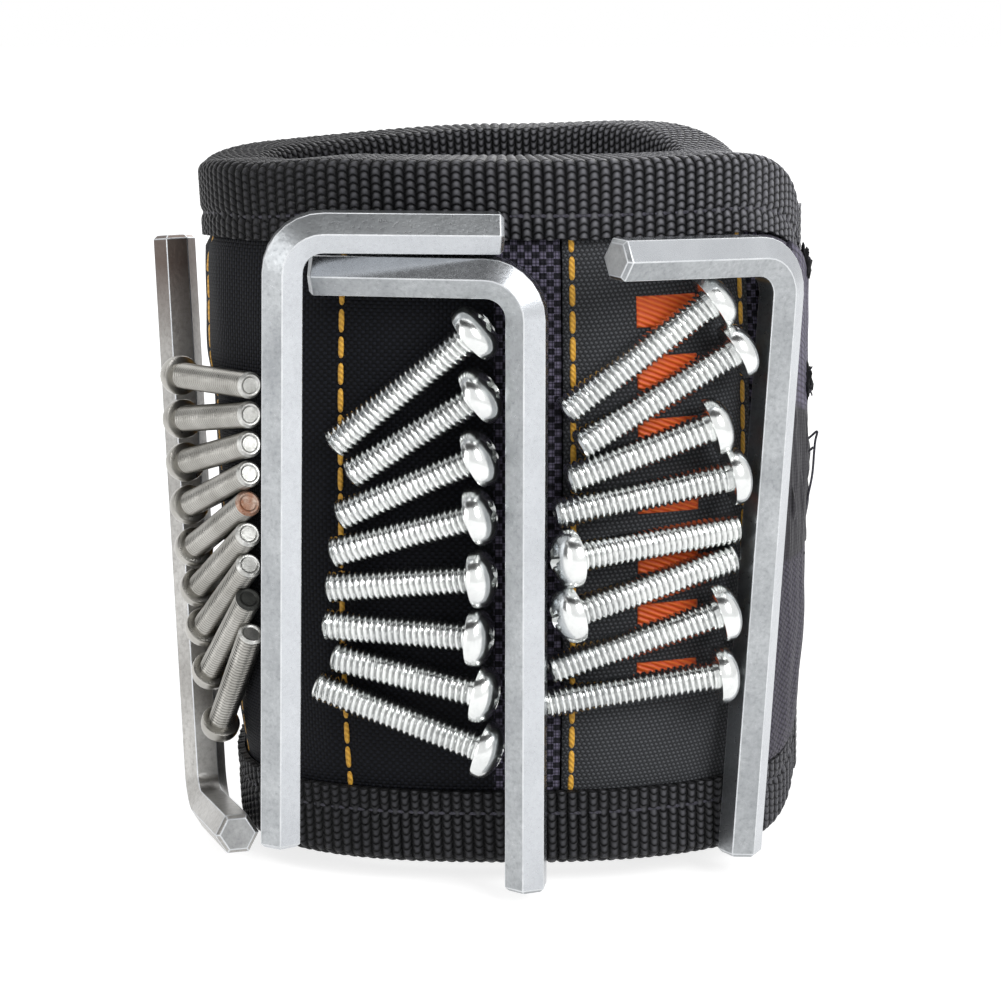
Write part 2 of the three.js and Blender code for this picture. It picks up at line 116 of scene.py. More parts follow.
def outlinePoint(turn, inset, height):
    fall = 1 - height / loop["height"]
    shrink = loop["baseNarrowing"] / 2 * fall + inset
    width, depth = loop["halfWidth"] - shrink, loop["halfDepth"] - shrink
    angle = np.radians(turn)
    cosine, sine = np.cos(angle), np.sin(angle)
    power = np.where((cosine < 0) & (sine < 0), *loop["roundness"])
    radius = (np.abs(cosine / width) ** power + np.abs(sine / depth) ** power) ** (-1 / power)
    return radius * cosine + loop["baseOffset"] * fall, radius * sine


def wrapPoint(turn, inset, height):  # metres, in the row frame
    turn, inset, height = np.broadcast_arrays(np.asarray(turn, float), inset, height)
    x, y = outlinePoint(turn, inset, height)
    share = np.clip((turn - loop["endCornerTurn"]) / (loop["wrapEnd"] - loop["endCornerTurn"]), 0, 1)
    share = np.where(turn > outerEndTurn, 0, share) * loop["cornerReach"]
    cut = loop["endCornerRadius"] * (1 - np.sqrt(1 - share ** 2))
    z = cut + height * (loop["height"] - rimDrop(turn) - 2 * cut) / loop["height"]
    return np.stack([x, y, z], -1) * mm + np.array(loop["origin"]) * mm


measuredTurns = np.arange(-70, 460, 0.5)
measuredPoints = wrapPoint(measuredTurns, spiralInset(measuredTurns), loop["measuredLevel"])
measuredSteps = np.linalg.norm(np.diff(measuredPoints[:, :2], axis=0), axis=1)
measuredLengths = np.concatenate([[0], np.cumsum(measuredSteps)])


def lengthAt(turn):  # metres along the band
    return np.interp(turn, measuredTurns, measuredLengths)


def turnAt(length):
    return np.interp(length, measuredLengths, measuredTurns)


def laidLength(start, end, inset, shift=spiralInset):  # metres along a piece at its own depth
    turns = np.linspace(start, end, 60)
    line = wrapPoint(turns, shift(turns) + inset, loop["laidLevel"])
    return float(np.linalg.norm(np.diff(line, axis=0), axis=1).sum())


def evenTurns(start, end, step):  # turns an even distance apart, step in millimetres
    a, b = lengthAt(start), lengthAt(end)
    return turnAt(np.linspace(a, b, max(2, int(round((b - a) / mm / step)) + 1)))


# how the cover differs from that curve
drape = {
    "lean": 6.4,
    "leanFrom": (195, 30),
    "leanTo": (328, 80),
    "fill": 0.7,
    "fillFrom": (150, 15),
    "fillTo": (216, 12),
    "fillAbove": (60, 6),
    "fillBelow": 1.2,
}


def leanAt(turn, height):  # the cover's front seams hang straight although the band narrows
    share = risen(turn, *drape["leanFrom"]) * fallen(turn, *drape["leanTo"])
    return -drape["lean"] * share * (1 - height / loop["height"])


def bulgeAt(height):
    leg = loop["bindingLeg"]
    share = np.clip((height - leg) / (loop["height"] - 2 * leg), 0, 1)
    return loop["bulge"] * np.sin(math.pi * share) ** loop["bulgePower"]


def upperFill(turn, height):  # the left side stays full right up to its top binding
    around = risen(turn, *drape["fillFrom"]) * fallen(turn, *drape["fillTo"])
    top = fallen(height, loop["height"] - loop["bindingLeg"], drape["fillBelow"])
    return drape["fill"] * around * risen(height, *drape["fillAbove"]) * top


# meshes
def newObject(name, mesh):
    piece = bpy.data.objects.new(name, mesh)
    bpy.context.scene.collection.objects.link(piece)
    return piece


def setCloth(mesh, values):
    mesh.attributes.new("cloth", "FLOAT_VECTOR", "POINT").data.foreach_set("vector", np.ravel(values))


def finishMesh(mesh):
    shape = bmesh.new()
    shape.from_mesh(mesh)
    bmesh.ops.recalc_face_normals(shape, faces=shape.faces)
    shape.to_mesh(mesh)
    shape.free()
    mesh.polygons.foreach_set("use_smooth", [True] * len(mesh.polygons))
    return mesh


def sweepPiece(name, turns, insets, heights, across, face, shift=spiralInset, lean=False):
    # rings of a closed section; "cloth" holds the way along, the way across and the dressed face
    turns = np.asarray(turns, float)
    rings, corners = len(turns), insets.shape[-1]
    insets = np.broadcast_to(insets, (rings, corners)) + shift(turns)[:, None]
    heights = np.broadcast_to(heights, (rings, corners))
    around = turns[:, None] + (leanAt(turns[:, None], heights) if lean else 0)
    points = wrapPoint(around, insets, heights).reshape(-1, 3)
    quads = []
    for ring in range(rings - 1):
        a, b = ring * corners, (ring + 1) * corners
        quads += [(a + i, a + (i + 1) % corners, b + (i + 1) % corners, b + i) for i in range(corners)]
    quads += [tuple(range(corners))[::-1], tuple(range((rings - 1) * corners, rings * corners))]
    mesh = bpy.data.meshes.new(name)
    mesh.from_pydata(points.tolist(), [], quads)
    along = np.broadcast_to(lengthAt(turns)[:, None], (rings, corners))
    setCloth(mesh, np.stack([along, np.broadcast_to(across, (rings, corners)) * mm,
                             np.broadcast_to(face, (rings, corners))], -1))
    return newObject(name, finishMesh(mesh))


def sheetSection(outer, inner, low, high, step, soft=0.25):
    # outer face from low to high, then the inner face back down
    count = max(3, int(round((high - low) / step)) + 1)
    outside = np.linspace(low + soft, high - soft, count)
    inside = np.linspace(high - soft, low + soft, max(3, count // 4))
    front = np.concatenate([[outer + soft], np.full(count, outer), [outer + soft]])
    insets = np.concatenate([front, np.full(len(inside), inner)])
    heights = np.concatenate([[low], outside, [high], inside])
    face = np.concatenate([[0], np.ones(count), [0], np.zeros(len(inside))])
    return insets, heights, face


def bake(piece):  # the evaluated shape as a plain mesh, with no modifier left
    graph = bpy.context.evaluated_depsgraph_get()
    mesh = bpy.data.meshes.new_from_object(piece.evaluated_get(graph), depsgraph=graph)
    old = piece.data
    piece.modifiers.clear()
    piece.data = mesh
    mesh.name = piece.name
    if old.users == 0:
        bpy.data.meshes.remove(old)
    return piece


# node trees
class Term:  # an output inside a node tree, joined to others by plain arithmetic
    def __init__(self, socket):
        self.socket = socket

    def calc(self, operation, *others):
        return calc(self.socket.id_data, operation, self, *others)

    def __add__(self, other):
        return self.calc("ADD", other)

    def __sub__(self, other):
        return self.calc("SUBTRACT", other)

    def __rsub__(self, other):
        return calc(self.socket.id_data, "SUBTRACT", other, self)

    def __mul__(self, other):
        return self.calc("MULTIPLY", other)

    def __truediv__(self, other):
        return self.calc("DIVIDE", other)

    def __pow__(self, power):
        return self.calc("POWER", power)


class Made:  # a node, its outputs read as terms
    def __init__(self, node):
        self.node = node

    def __getitem__(self, key):
        return Term(self.node.outputs[key])


def connect(source, target):  # a term is linked, any other value is set
    if isinstance(source, Term):
        target.id_data.links.new(source.socket, target)
    else:
        target.default_value = source


def calc(tree, operation, *terms):  # one Math node
    node = tree.nodes.new("ShaderNodeMath")
    node.operation = operation
    for socket, term in zip(node.inputs, terms):
        connect(term, socket)
    return Term(node.outputs[0])


def addNode(tree, kind, links=(), **values):
    node = tree.nodes.new(kind)
    for key, value in values.items():
        setattr(node, key, value)
    for socket, source in dict(links).items():
        connect(source, node.inputs[socket])
    return Made(node)


def newTree(name, kind, inputs, outputs):  # each socket by its kind, or a number's starting value
    tree = bpy.data.node_groups.new(name, kind)
    for direction, sockets in (("INPUT", inputs), ("OUTPUT", outputs)):
        for label, given in sockets.items():
            socketKind = given if isinstance(given, str) else "Float"
            socket = tree.interface.new_socket(label, in_out=direction, socket_type="NodeSocket" + socketKind)
            if not isinstance(given, str):
                socket.default_value = given
    return tree, Made(tree.nodes.new("NodeGroupInput")), tree.nodes.new("NodeGroupOutput")


def runTree(piece, tree, values):  # inputs are set by their sockets' identifiers
    modifier = piece.modifiers.new(tree.name, "NODES")
    modifier.node_group = tree
    for item in tree.interface.items_tree:
        if item.item_type == "SOCKET" and item.in_out == "INPUT" and item.name in values:
            modifier[item.identifier] = values[item.name]
    return bake(piece)


def split(tree, vector):
    return addNode(tree, "ShaderNodeSeparateXYZ", {"Vector": vector})


def joined(tree, x, y, z):
    return addNode(tree, "ShaderNodeCombineXYZ", {0: x, 1: y, 2: z})[0]


def inCell(value):  # from -1 to 1 across each whole step of the value
    return value.calc("FRACT") * 2 - 1


def arcOf(share):  # the round top of a strand: 1 where the share is 0, 0 where it is 1
    return (1 - share).calc("MAXIMUM", 0).calc("SQRT")


def staggerOf(rib):  # every other rib is half a bead ahead
    return rib.calc("FLOOR").calc("PINGPONG", 1) * 0.5


# materials
def rgb(r, g, b):  # a colour as the eye reads it, 0 to 255
    return tuple((v / 255 / 12.92 if v <= 10.3 else ((v / 255 + 0.055) / 1.055) ** 2.4)
                 for v in (r, g, b)) + (1,)


def mixColour(tree, share, first, second):  # a colour is three values for rgb, or a term
    node = tree.nodes.new("ShaderNodeMix")
    node.data_type = "RGBA"
    connect(share, node.inputs[0])
    for socket, colour in ((node.inputs[6], first), (node.inputs[7], second)):
        connect(rgb(*colour) if isinstance(colour, tuple) else colour, socket)
    return Term(node.outputs[2])


def newMaterial(name, roughness, metallic=0.0, sheen=0.0, specular=0.5):
    material = bpy.data.materials.new(name)
    material.use_nodes = True
    shader = material.node_tree.nodes["Principled BSDF"]
    for label, value in (("Roughness", roughness), ("Metallic", metallic), ("Sheen Weight", sheen),
                         ("Specular IOR Level", specular)):
        shader.inputs[label].default_value = value
    return material, material.node_tree, shader


def dress(tree, shader, colour, height, depth, strength=1.0):  # depth of the bump in millimetres
    bump = addNode(tree, "ShaderNodeBump", {"Height": height, "Distance": depth * mm, "Strength": strength})
    connect(colour, shader.inputs["Base Color"])
    connect(bump[0], shader.inputs["Normal"])


def clothUv(tree):  # the piece's own way along and across, in metres
    return addNode(tree, "ShaderNodeAttribute", attribute_name="cloth")["Vector"]


def objectPlace(tree):
    return addNode(tree, "ShaderNodeTexCoord")["Object"]


def slanted(tree, vector, degrees):
    return addNode(tree, "ShaderNodeVectorRotate", {"Vector": vector, "Angle": math.radians(degrees)},
                   rotation_type="Z_AXIS")[0]


def rampOf(tree, value, start, end, low=0.0, high=1.0):
    return addNode(tree, "ShaderNodeMapRange", {"Value": value, "From Min": start, "From Max": end,
                                                "To Min": low, "To Max": high})[0]


def noiseOf(tree, place, scale, detail=2.0, **more):
    return addNode(tree, "ShaderNodeTexNoise", {"Vector": place, "Scale": scale, "Detail": detail, **more})[0]


def wavesOf(tree, place, scale, distortion, direction):
    return addNode(tree, "ShaderNodeTexWave", {"Vector": place, "Scale": scale, "Distortion": distortion,
                                               "Detail": 1.0}, bands_direction=direction)["Fac"]


def useGroup(tree, group, links):
    return addNode(tree, "ShaderNodeGroup", links, node_tree=group)


# effects that several cloths share
def makeWeaveGroup():
    tree, given, out = newTree("plainWeave", "ShaderNodeTree",
                               {"Vector": "Vector", "Pitch": 0.001, "Squash": 1.0},
                               {"Height": "Float", "Warp": "Float"})
    place = split(tree, given["Vector"])
    u = place[0] / given["Pitch"]
    v = place[1] / (given["Pitch"] * given["Squash"])

    def yarn(side, along, shift):
        phase = along + (shift - 0.5) + side.calc("FLOOR")
        over = (phase * math.pi).calc("COSINE") * 0.5 + 0.5
        return arcOf(inCell(side).calc("ABSOLUTE") ** 2.4) * over

    warp, weft = yarn(u, v, 0), yarn(v, u, 1)
    connect(warp.calc("MAXIMUM", weft), out.inputs["Height"])
    connect(warp.calc("GREATER_THAN", weft), out.inputs["Warp"])
    return tree


def makeLintGroup():
    tree, given, out = newTree("lint", "ShaderNodeTree", {"Vector": "Vector", "Scale": 900.0},
                               {"Fine": "Float"})
    connect(noiseOf(tree, given["Vector"], given["Scale"]), out.inputs["Fine"])
    return tree


weaveGroup = makeWeaveGroup()
lintGroup = makeLintGroup()


def weaveOf(tree, vector, pitch, squash=1.0):  # pitch in millimetres
    return useGroup(tree, weaveGroup, {"Vector": vector, "Pitch": pitch * mm, "Squash": squash})


def lintOf(tree, scale=2500.0):
    return useGroup(tree, lintGroup, {"Vector": objectPlace(tree), "Scale": scale})["Fine"]


def wovenMaterial(name, look):
    material, tree, shader = newMaterial(name, look["roughness"], 0.0, look["sheen"], look["specular"])
    where = clothUv(tree)
    if "slant" in look:
        where = slanted(tree, where, look["slant"])
    weave = weaveOf(tree, where, look["pitch"], look["squash"])
    lint = lintOf(tree)
    yarns = mixColour(tree, weave["Warp"], look["weft"], look["warp"])
    if "edgePitch" in look:  # the last few millimetres before the label are a coarser, paler strip
        coarse = weaveOf(tree, where, look["edgePitch"])
        edge = rampOf(tree, split(tree, where)[0], look["edgeFrom"], look["edgeFrom"] + look["edgeBlend"])
        paler = mixColour(tree, coarse["Warp"], look["edgeWeft"], look["edgeWarp"])
        yarns = mixColour(tree, edge, yarns, paler)
    cloth = mixColour(tree, weave["Height"] ** 1.3, look["gap"], yarns)
    worn = mixColour(tree, lint * look["lint"], cloth, look["lintColour"])
    dress(tree, shader, worn, lint * 0.12 + weave["Height"], look["depth"])
    return material


woven = {
    "ballisticCloth": {
        "roughness": 0.6, "specular": 0.1, "sheen": 0.02, "pitch": 0.47, "squash": 1.0, "depth": 0.16,
        "warp": (10, 11, 14), "weft": (29, 31, 38), "gap": (3, 3, 4),
        "lintColour": (60, 62, 72), "lint": 0.06,
        "edgePitch": 0.86, "edgeWarp": (112, 107, 128), "edgeWeft": (36, 35, 43),
        "edgeFrom": lengthAt(284.4) - 0.0082, "edgeBlend": 0.0003,
    },
    "labelCloth": {
        "roughness": 0.7, "specular": 0.15, "sheen": 0.02, "pitch": 0.46, "squash": 0.7, "depth": 0.1,
        "slant": 32, "warp": (92, 94, 98), "weft": (52, 53, 56), "gap": (18, 19, 20),
        "lintColour": (120, 122, 125), "lint": 0.08,
    },
    "strapWebbing": {
        "roughness": 0.65, "specular": 0.3, "sheen": 0.05, "pitch": 0.8, "squash": 0.6, "depth": 0.25,
        "warp": (78, 75, 92), "weft": (52, 50, 62), "gap": (12, 12, 15),
        "lintColour": (150, 148, 158), "lint": 0.12,
    },
    "liningMesh": {
        "roughness": 0.85, "specular": 0.2, "sheen": 0.05, "pitch": 1.3, "squash": 1.0, "depth": 0.3,
        "warp": (26, 26, 29), "weft": (20, 20, 23), "gap": (5, 5, 6),
        "lintColour": (80, 80, 84), "lint": 0.1,
    },
}


def makeRibbedWebbing():  # each rib is a chain of curved beads, one rib half a bead ahead of the next
    # look: the tip colours are painted highlights on the bead tops, the groove colour paints shade between
    # the beads, and the darker crest and tip colours are their painted-shade copies
    look = {"crest": (52, 52, 56), "faded": (9, 9, 10), "groove": (3, 3, 4), "tip": (140, 140, 146),
            "tipFaded": (52, 52, 56), "knit": (104, 104, 109), "lint": (16, 16, 18),
            "fadeX": (-0.03, 0.036), "fadeZ": (0.008, 0.07), "fadeLow": 0.35, "ribPitch": 1.33,
            "beadPitch": 1.0, "curl": 0.42, "beadFloor": 0.25, "depth": 0.42,
            "knitStart": lengthAt(323.0), "knitWay": 0.004}
    material, tree, shader = newMaterial("ribbedWebbing", 0.4, 0.0, 0.02, 0.15)
    cloth = split(tree, clothUv(tree))
    rib = cloth[0] / (look["ribPitch"] * mm)
    ribCentre = inCell(rib)
    ribShare = ribCentre * ribCentre
    bead = cloth[1] / (look["beadPitch"] * mm) + staggerOf(rib) + ribShare * look["curl"]
    beadRise = arcOf(inCell(bead).calc("ABSOLUTE") ** 3)
    rise = arcOf(ribShare) * (beadRise * (1 - look["beadFloor"]) + look["beadFloor"])
    lint = lintOf(tree, 3500.0)
    knit = rampOf(tree, cloth[0], look["knitStart"], look["knitStart"] + look["knitWay"])
    place = split(tree, objectPlace(tree))
    # painted shade: the ribs grow darker towards the left and the bottom, and their painted highlights dimmer
    # there
    litShare = rampOf(tree, place[0], *look["fadeX"]) * rampOf(tree, place[2], *look["fadeZ"], look["fadeLow"])
    crest = mixColour(tree, litShare, look["faded"], look["crest"])
    tip = mixColour(tree, litShare, look["tipFaded"], look["tip"])
    crest = mixColour(tree, knit * 0.8, crest, look["knit"])
    # painted shade in the grooves between the beads, then a painted highlight on the bead tops
    colour = mixColour(tree, rise ** 1.6, look["groove"], crest)
    colour = mixColour(tree, rise ** 7, colour, tip)
    colour = mixColour(tree, lint * 0.35, colour, look["lint"])
    dress(tree, shader, colour, lint * 0.15 + rise, look["depth"])
    return material


def makePatchCloth():  # dashed tape above, creased nylon in the middle, coarse webbing below
    look = {"tape": (122, 117, 138), "tapeGap": (24, 23, 28), "tapeFrom": 0.0585, "tapeWeave": (1.5, 0.55),
            "nylon": (58, 56, 62), "nylonGap": (20, 20, 23), "nylonWeave": (0.5, 1.0),
            "coarse": (86, 82, 96), "coarseGap": (20, 19, 23), "coarseTo": 0.037, "coarseWeave": (0.85, 0.7),
            "coarseSlant": 38, "blend": 0.0012, "wander": 0.003, "lint": (30, 30, 33),
            "creaseStretch": (3.2, 0.35, 1), "creaseScale": 330.0, "creaseShare": 2.2, "depth": 0.3}
    material, tree, shader = newMaterial("patchCloth", 0.66, 0.0, 0.06, 0.3)
    where = clothUv(tree)
    level = noiseOf(tree, where, 260.0) * look["wander"] + (split(tree, where)[1] - look["wander"] / 2)
    tapeShare = rampOf(tree, level, look["tapeFrom"], look["tapeFrom"] + look["blend"])
    coarseShare = rampOf(tree, level, look["coarseTo"] + look["blend"], look["coarseTo"])
    tape = weaveOf(tree, where, *look["tapeWeave"])["Height"]
    nylon = weaveOf(tree, where, *look["nylonWeave"])["Height"]
    coarse = weaveOf(tree, slanted(tree, where, look["coarseSlant"]), *look["coarseWeave"])["Height"]
    colour = mixColour(tree, nylon, look["nylonGap"], look["nylon"])
    colour = mixColour(tree, coarseShare, colour, mixColour(tree, coarse, look["coarseGap"], look["coarse"]))
    colour = mixColour(tree, tapeShare, colour, mixColour(tree, tape, look["tapeGap"], look["tape"]))
    colour = mixColour(tree, lintOf(tree) * 0.3, colour, look["lint"])
    stretched = addNode(tree, "ShaderNodeMapping", {"Vector": where, "Scale": look["creaseStretch"]})[0]
    creases = noiseOf(tree, stretched, look["creaseScale"], 3.0, Distortion=0.6)
    height = coarse * coarseShare + tape * tapeShare + nylon * 0.3
    dress(tree, shader, colour, creases * look["creaseShare"] + height, look["depth"])
    return material


def makeBarThread():  # embroidery: slanting satin threads
    material, tree, shader = newMaterial("barThread", 0.45, 0.0, 0.1)
    place = slanted(tree, clothUv(tree), 24)
    threads = wavesOf(tree, place, 480.0, 0.8, "Y")
    colour = mixColour(tree, threads, (226, 78, 16), (255, 120, 40))
    colour = mixColour(tree, noiseOf(tree, place, 900.0) * 0.2, colour, (150, 48, 12))
    dress(tree, shader, colour, threads, 0.12)
    return material


def threadMaterial(name, colour, dark, roughness):
    material, tree, shader = newMaterial(name, roughness, 0.0, 0.2)
    place = objectPlace(tree)
    ply = wavesOf(tree, place, 900.0, 1.5, "DIAGONAL")
    mixed = mixColour(tree, ply * noiseOf(tree, place, 700.0), colour, dark)
    dress(tree, shader, mixed, ply, 0.08, 0.8)
    return material


def platedMaterial(name, look):
    material, tree, shader = newMaterial(name, look["roughness"], 1.0)
    place = objectPlace(tree)
    patch = noiseOf(tree, place, look["patchScale"], 5.0, Roughness=0.6)
    grain = noiseOf(tree, place, look["grainScale"], 3.0, Roughness=0.7)
    colour = mixColour(tree, patch * 1.6 - 0.4, look["dull"], look["bright"])
    colour = mixColour(tree, grain ** 3 * look["speck"], colour, look["speckColour"])
    if "tarnish" in look:  # brown above a level, in patches
        level = rampOf(tree, split(tree, place)[2], look["tarnishFrom"], look["tarnishTo"])
        colour = mixColour(tree, level * (patch * 0.5 + 0.62), colour, look["tarnish"])
    if "valley" in look:  # painted shade at the bottom of the thread
        valley = addNode(tree, "ShaderNodeAttribute", attribute_name="valley")["Fac"]
        colour = mixColour(tree, valley * look["valleyShare"], colour, look["valley"])
    connect(grain * 0.18 + (look["roughness"] - 0.09), shader.inputs["Roughness"])
    dress(tree, shader, colour, grain, look["grainDepth"], 0.5)
    return material


plated = {
    "keyPlate": {
        "roughness": 0.3, "patchScale": 90, "grainScale": 1700, "grainDepth": 0.05,
        "dull": (146, 149, 152), "bright": (202, 205, 207), "speck": 1.2, "speckColour": (96, 99, 102),
    },
    # a lighter copy of the key plating for the facets turned to the light: painted light
    "keyBright": {
        "roughness": 0.26, "patchScale": 60, "grainScale": 1700, "grainDepth": 0.03,
        "dull": (182, 185, 189), "bright": (212, 215, 219), "speck": 0.4, "speckColour": (110, 112, 116),
    },
    "keyWorn": {
        "roughness": 0.34, "patchScale": 90, "grainScale": 1700, "grainDepth": 0.05,
        "dull": (160, 158, 155), "bright": (222, 221, 218), "speck": 1.2, "speckColour": (96, 92, 88),
        "tarnish": (92, 76, 68), "tarnishFrom": 0.062, "tarnishTo": 0.076,
    },
    # the bevelled edges, paler than the plating: a painted highlight along the arrises
    "keyArris": {
        "roughness": 0.45, "patchScale": 200, "grainScale": 1700, "grainDepth": 0.03,
        "dull": (196, 199, 202), "bright": (236, 238, 240), "speck": 0.4, "speckColour": (120, 122, 125),
    },
    "keyEnd": {
        "roughness": 0.62, "patchScale": 300, "grainScale": 2500, "grainDepth": 0.05,
        "dull": (160, 161, 162), "bright": (206, 207, 207), "speck": 0.6, "speckColour": (78, 80, 82),
    },
    "screwPlate": {
        "roughness": 0.2, "patchScale": 120, "grainScale": 1200, "grainDepth": 0.015,
        "dull": (212, 214, 214), "bright": (250, 252, 250), "speck": 0.3, "speckColour": (110, 112, 112),
        # the valley colour is painted shade at the bottom of the thread
        "valley": (88, 90, 90), "valleyShare": 0.45,
    },
    "slimPlate": {
        "roughness": 0.3, "patchScale": 150, "grainScale": 1200, "grainDepth": 0.02,
        "dull": (150, 148, 142), "bright": (212, 210, 205), "speck": 0.5, "speckColour": (84, 80, 74),
        # the valley colour is painted shade at the bottom of the thread
        "valley": (52, 51, 48), "valleyShare": 0.65,
    },
    # the slim screws' end faces, paler than their plating: a painted highlight
    "brightTip": {
        "roughness": 0.4, "patchScale": 700, "grainScale": 2500, "grainDepth": 0.05,
        "dull": (176, 176, 172), "bright": (250, 250, 247), "speck": 0.8, "speckColour": (110, 110, 106),
    },
    "rustedTip": {
        "roughness": 0.6, "patchScale": 900, "grainScale": 2500, "grainDepth": 0.05,
        "dull": (168, 104, 62), "bright": (232, 226, 216), "speck": 1.6, "speckColour": (120, 62, 30),
    },
    "darkTip": {
        "roughness": 0.55, "patchScale": 600, "grainScale": 2500, "grainDepth": 0.05,
        "dull": (52, 53, 52), "bright": (92, 93, 90), "speck": 0.6, "speckColour": (30, 30, 30),
    },
}
finishes = {name: wovenMaterial(name, look) for name, look in woven.items()}
finishes.update({name: platedMaterial(name, look) for name, look in plated.items()})
ribbedWebbing = makeRibbedWebbing()
patchCloth = makePatchCloth()
barThread = makeBarThread()
goldThread = threadMaterial("goldThread", (248, 190, 66), (176, 112, 22), 0.5)
blackThread = threadMaterial("blackThread", (46, 44, 58), (20, 20, 26), 0.6)
print("materials made")

# wall of the band
wall = {
    "coverStep": 1.0,
    "seamTurns": (108, 150, 195, 235.3, 286.6, 325),
    "seamDip": 0.4,
    "seamWidth": 1.1,
    "labelTurns": (284.4, 327.2),
    "rippleSize": 5.0,
    "foam": (3.0, 4.6),
    "lining": (4.9, 5.6),
    "magnets": 10,
}


def onBand(piece, node):
    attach(piece, "band")
    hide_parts(node)
    return piece


def dipAt(turn):  # the cover is drawn in along the gold seams
    lengths = lengthAt(turn) / mm
    places = lengthAt(np.array(wall["seamTurns"], float)) / mm
    return wall["seamDip"] * np.exp(-((lengths[:, None] - places[None, :]) / wall["seamWidth"]) ** 2).sum(1)


def folds(turns, heights, wide, high, seed):  # uneven creases, from about -1 to 1
    lengths = lengthAt(turns) / mm
    return np.array([[noise.noise(Vector((a / wide, h / high, seed))) for h in heights] for a in lengths])


def coverPiece(name, start, end, node, finish, ripples, seed):
    turns = evenTurns(start, end, wall["coverStep"])
    insets, heights, face = sheetSection(0.0, loop["cover"], wallLow, wallHigh, wall["coverStep"])
    bow = bulgeAt(heights)[None, :]
    drawnIn = dipAt(turns)[:, None] * np.where(bow > 0, 1, 0)
    wrinkle = folds(turns, heights, wall["rippleSize"], wall["rippleSize"], seed) * ripples
    bow = bow + upperFill(turns[:, None], heights[None, :])
    insets = insets[None, :] - bow + (drawnIn + wrinkle) * np.where(bow > 0.05, 1, 0)
    piece = sweepPiece(name, turns, insets, heights, heights, face, lean=True)
    piece.data.materials.append(finishes[finish])
    onBand(piece, node)
    width, length = (wallHigh - wallLow) * mm, float(lengthAt(end) - lengthAt(start))


labelStart, labelEnd = wall["labelTurns"]
coverPiece("outerCover", loop["innerEnd"], labelStart - seamTurn, "outer_cover",
           "ballisticCloth", 0.12, 1.0)
coverPiece("labelPanel", labelStart, labelEnd - seamTurn, "label_panel",
           "labelCloth", 0.05, 7.0)
coverPiece("cornerCover", labelEnd, loop["wrapEnd"], "corner_cover",
           "ballisticCloth", 0.15, 9.0)

# embroidered bars on the label, a plain pattern
bars = {
    "centreTurn": 306.9,
    "width": 7.6,
    "rise": 0.16,
    "sunk": 0.1,
    "step": 0.4,
    "soft": 0.12,
    "rings": 20,
    "spans": [(22.6, 26.8), (30.4, 34.6), (38.6, 42.4), (46.4, 50.6), (54.6, 58.6), (62.4, 66.6),
              (70.2, 74.2)],
}
barMiddle = lengthAt(bars["centreTurn"])
for count, (low, high) in enumerate(bars["spans"], 1):
    side = bars["width"] / 2 * mm
    turns = turnAt(np.linspace(barMiddle - side, barMiddle + side, bars["rings"]))
    insets, heights, face = sheetSection(-bars["rise"], bars["sunk"], low, high, bars["step"], bars["soft"])
    bar = sweepPiece(f"labelBar{count}", turns, insets - bulgeAt(heights), heights, heights, face, lean=True)
    bar.data.materials.append(barThread)
    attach(bar, "band")


def innerLayer(name, node, depths, step):
    turns = evenTurns(loop["innerEnd"], loop["wrapEnd"], step)
    insets, heights, face = sheetSection(*depths, wallLow, wallHigh, step)
    piece = sweepPiece(name, turns, insets, heights, heights, 1 - face)
    piece.data.materials.append(finishes["liningMesh"])
    return onBand(piece, node)


padding = innerLayer("padding", "foam_pad", wall["foam"], 3.0)
lining = innerLayer("lining", "mesh_lining", wall["lining"], 1.5)
liningLength = laidLength(loop["innerEnd"], loop["wrapEnd"], sum(wall["lining"]) / 2)
for count in range(1, wall["magnets"] + 1):
    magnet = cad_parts[f"magnet_{count}"]
    magnet.data.materials.clear()
    magnet.data.materials.append(finishes["keyPlate"])
print("wall made")

# bindings: webbing folded over the edges, its ribs raised by a tree
binding = {
    "alongStep": 0.27,
    "acrossStep": 0.29,
    "endStep": 0.28,
    "endInset": 0.3,
    "endRings": 9,
    "endRibDepth": 0.2,
    "noSeam": -1000,  # so far off that no seam shows
    "seamFromEdge": 7.0,
}
ribs = {
    "ribPitch": 1.33,
    "ribDepth": 0.34,
    "beadPitch": 1.0,
    "beadDepth": 0.16,
    "seamPlace": loop["bindingLeg"] - binding["seamFromEdge"],
    "seamWidth": 0.55,
    "seamDepth": 0.3,
}


def sizedTree(name, sizes, more):  # a geometry tree whose inputs are named lengths
    inputs = {"Geometry": "Geometry", **{label: 0.001 for label in sizes}, **more}
    return newTree(name, "GeometryNodeTree", inputs, {"Geometry": "Geometry"})


def pushed(tree, geometry, way, distance):
    offset = addNode(tree, "ShaderNodeVectorMath", {0: way, "Scale": distance}, operation="SCALE")
    return addNode(tree, "GeometryNodeSetPosition", {"Geometry": geometry, "Offset": offset[0]})[0]


def finishTree(tree, geometry, material, out):  # plain meshes in one material
    real = addNode(tree, "GeometryNodeRealizeInstances", {"Geometry": geometry})
    painted = addNode(tree, "GeometryNodeSetMaterial", {"Geometry": real[0], "Material": material})
    connect(painted[0], out.inputs[0])
    return tree


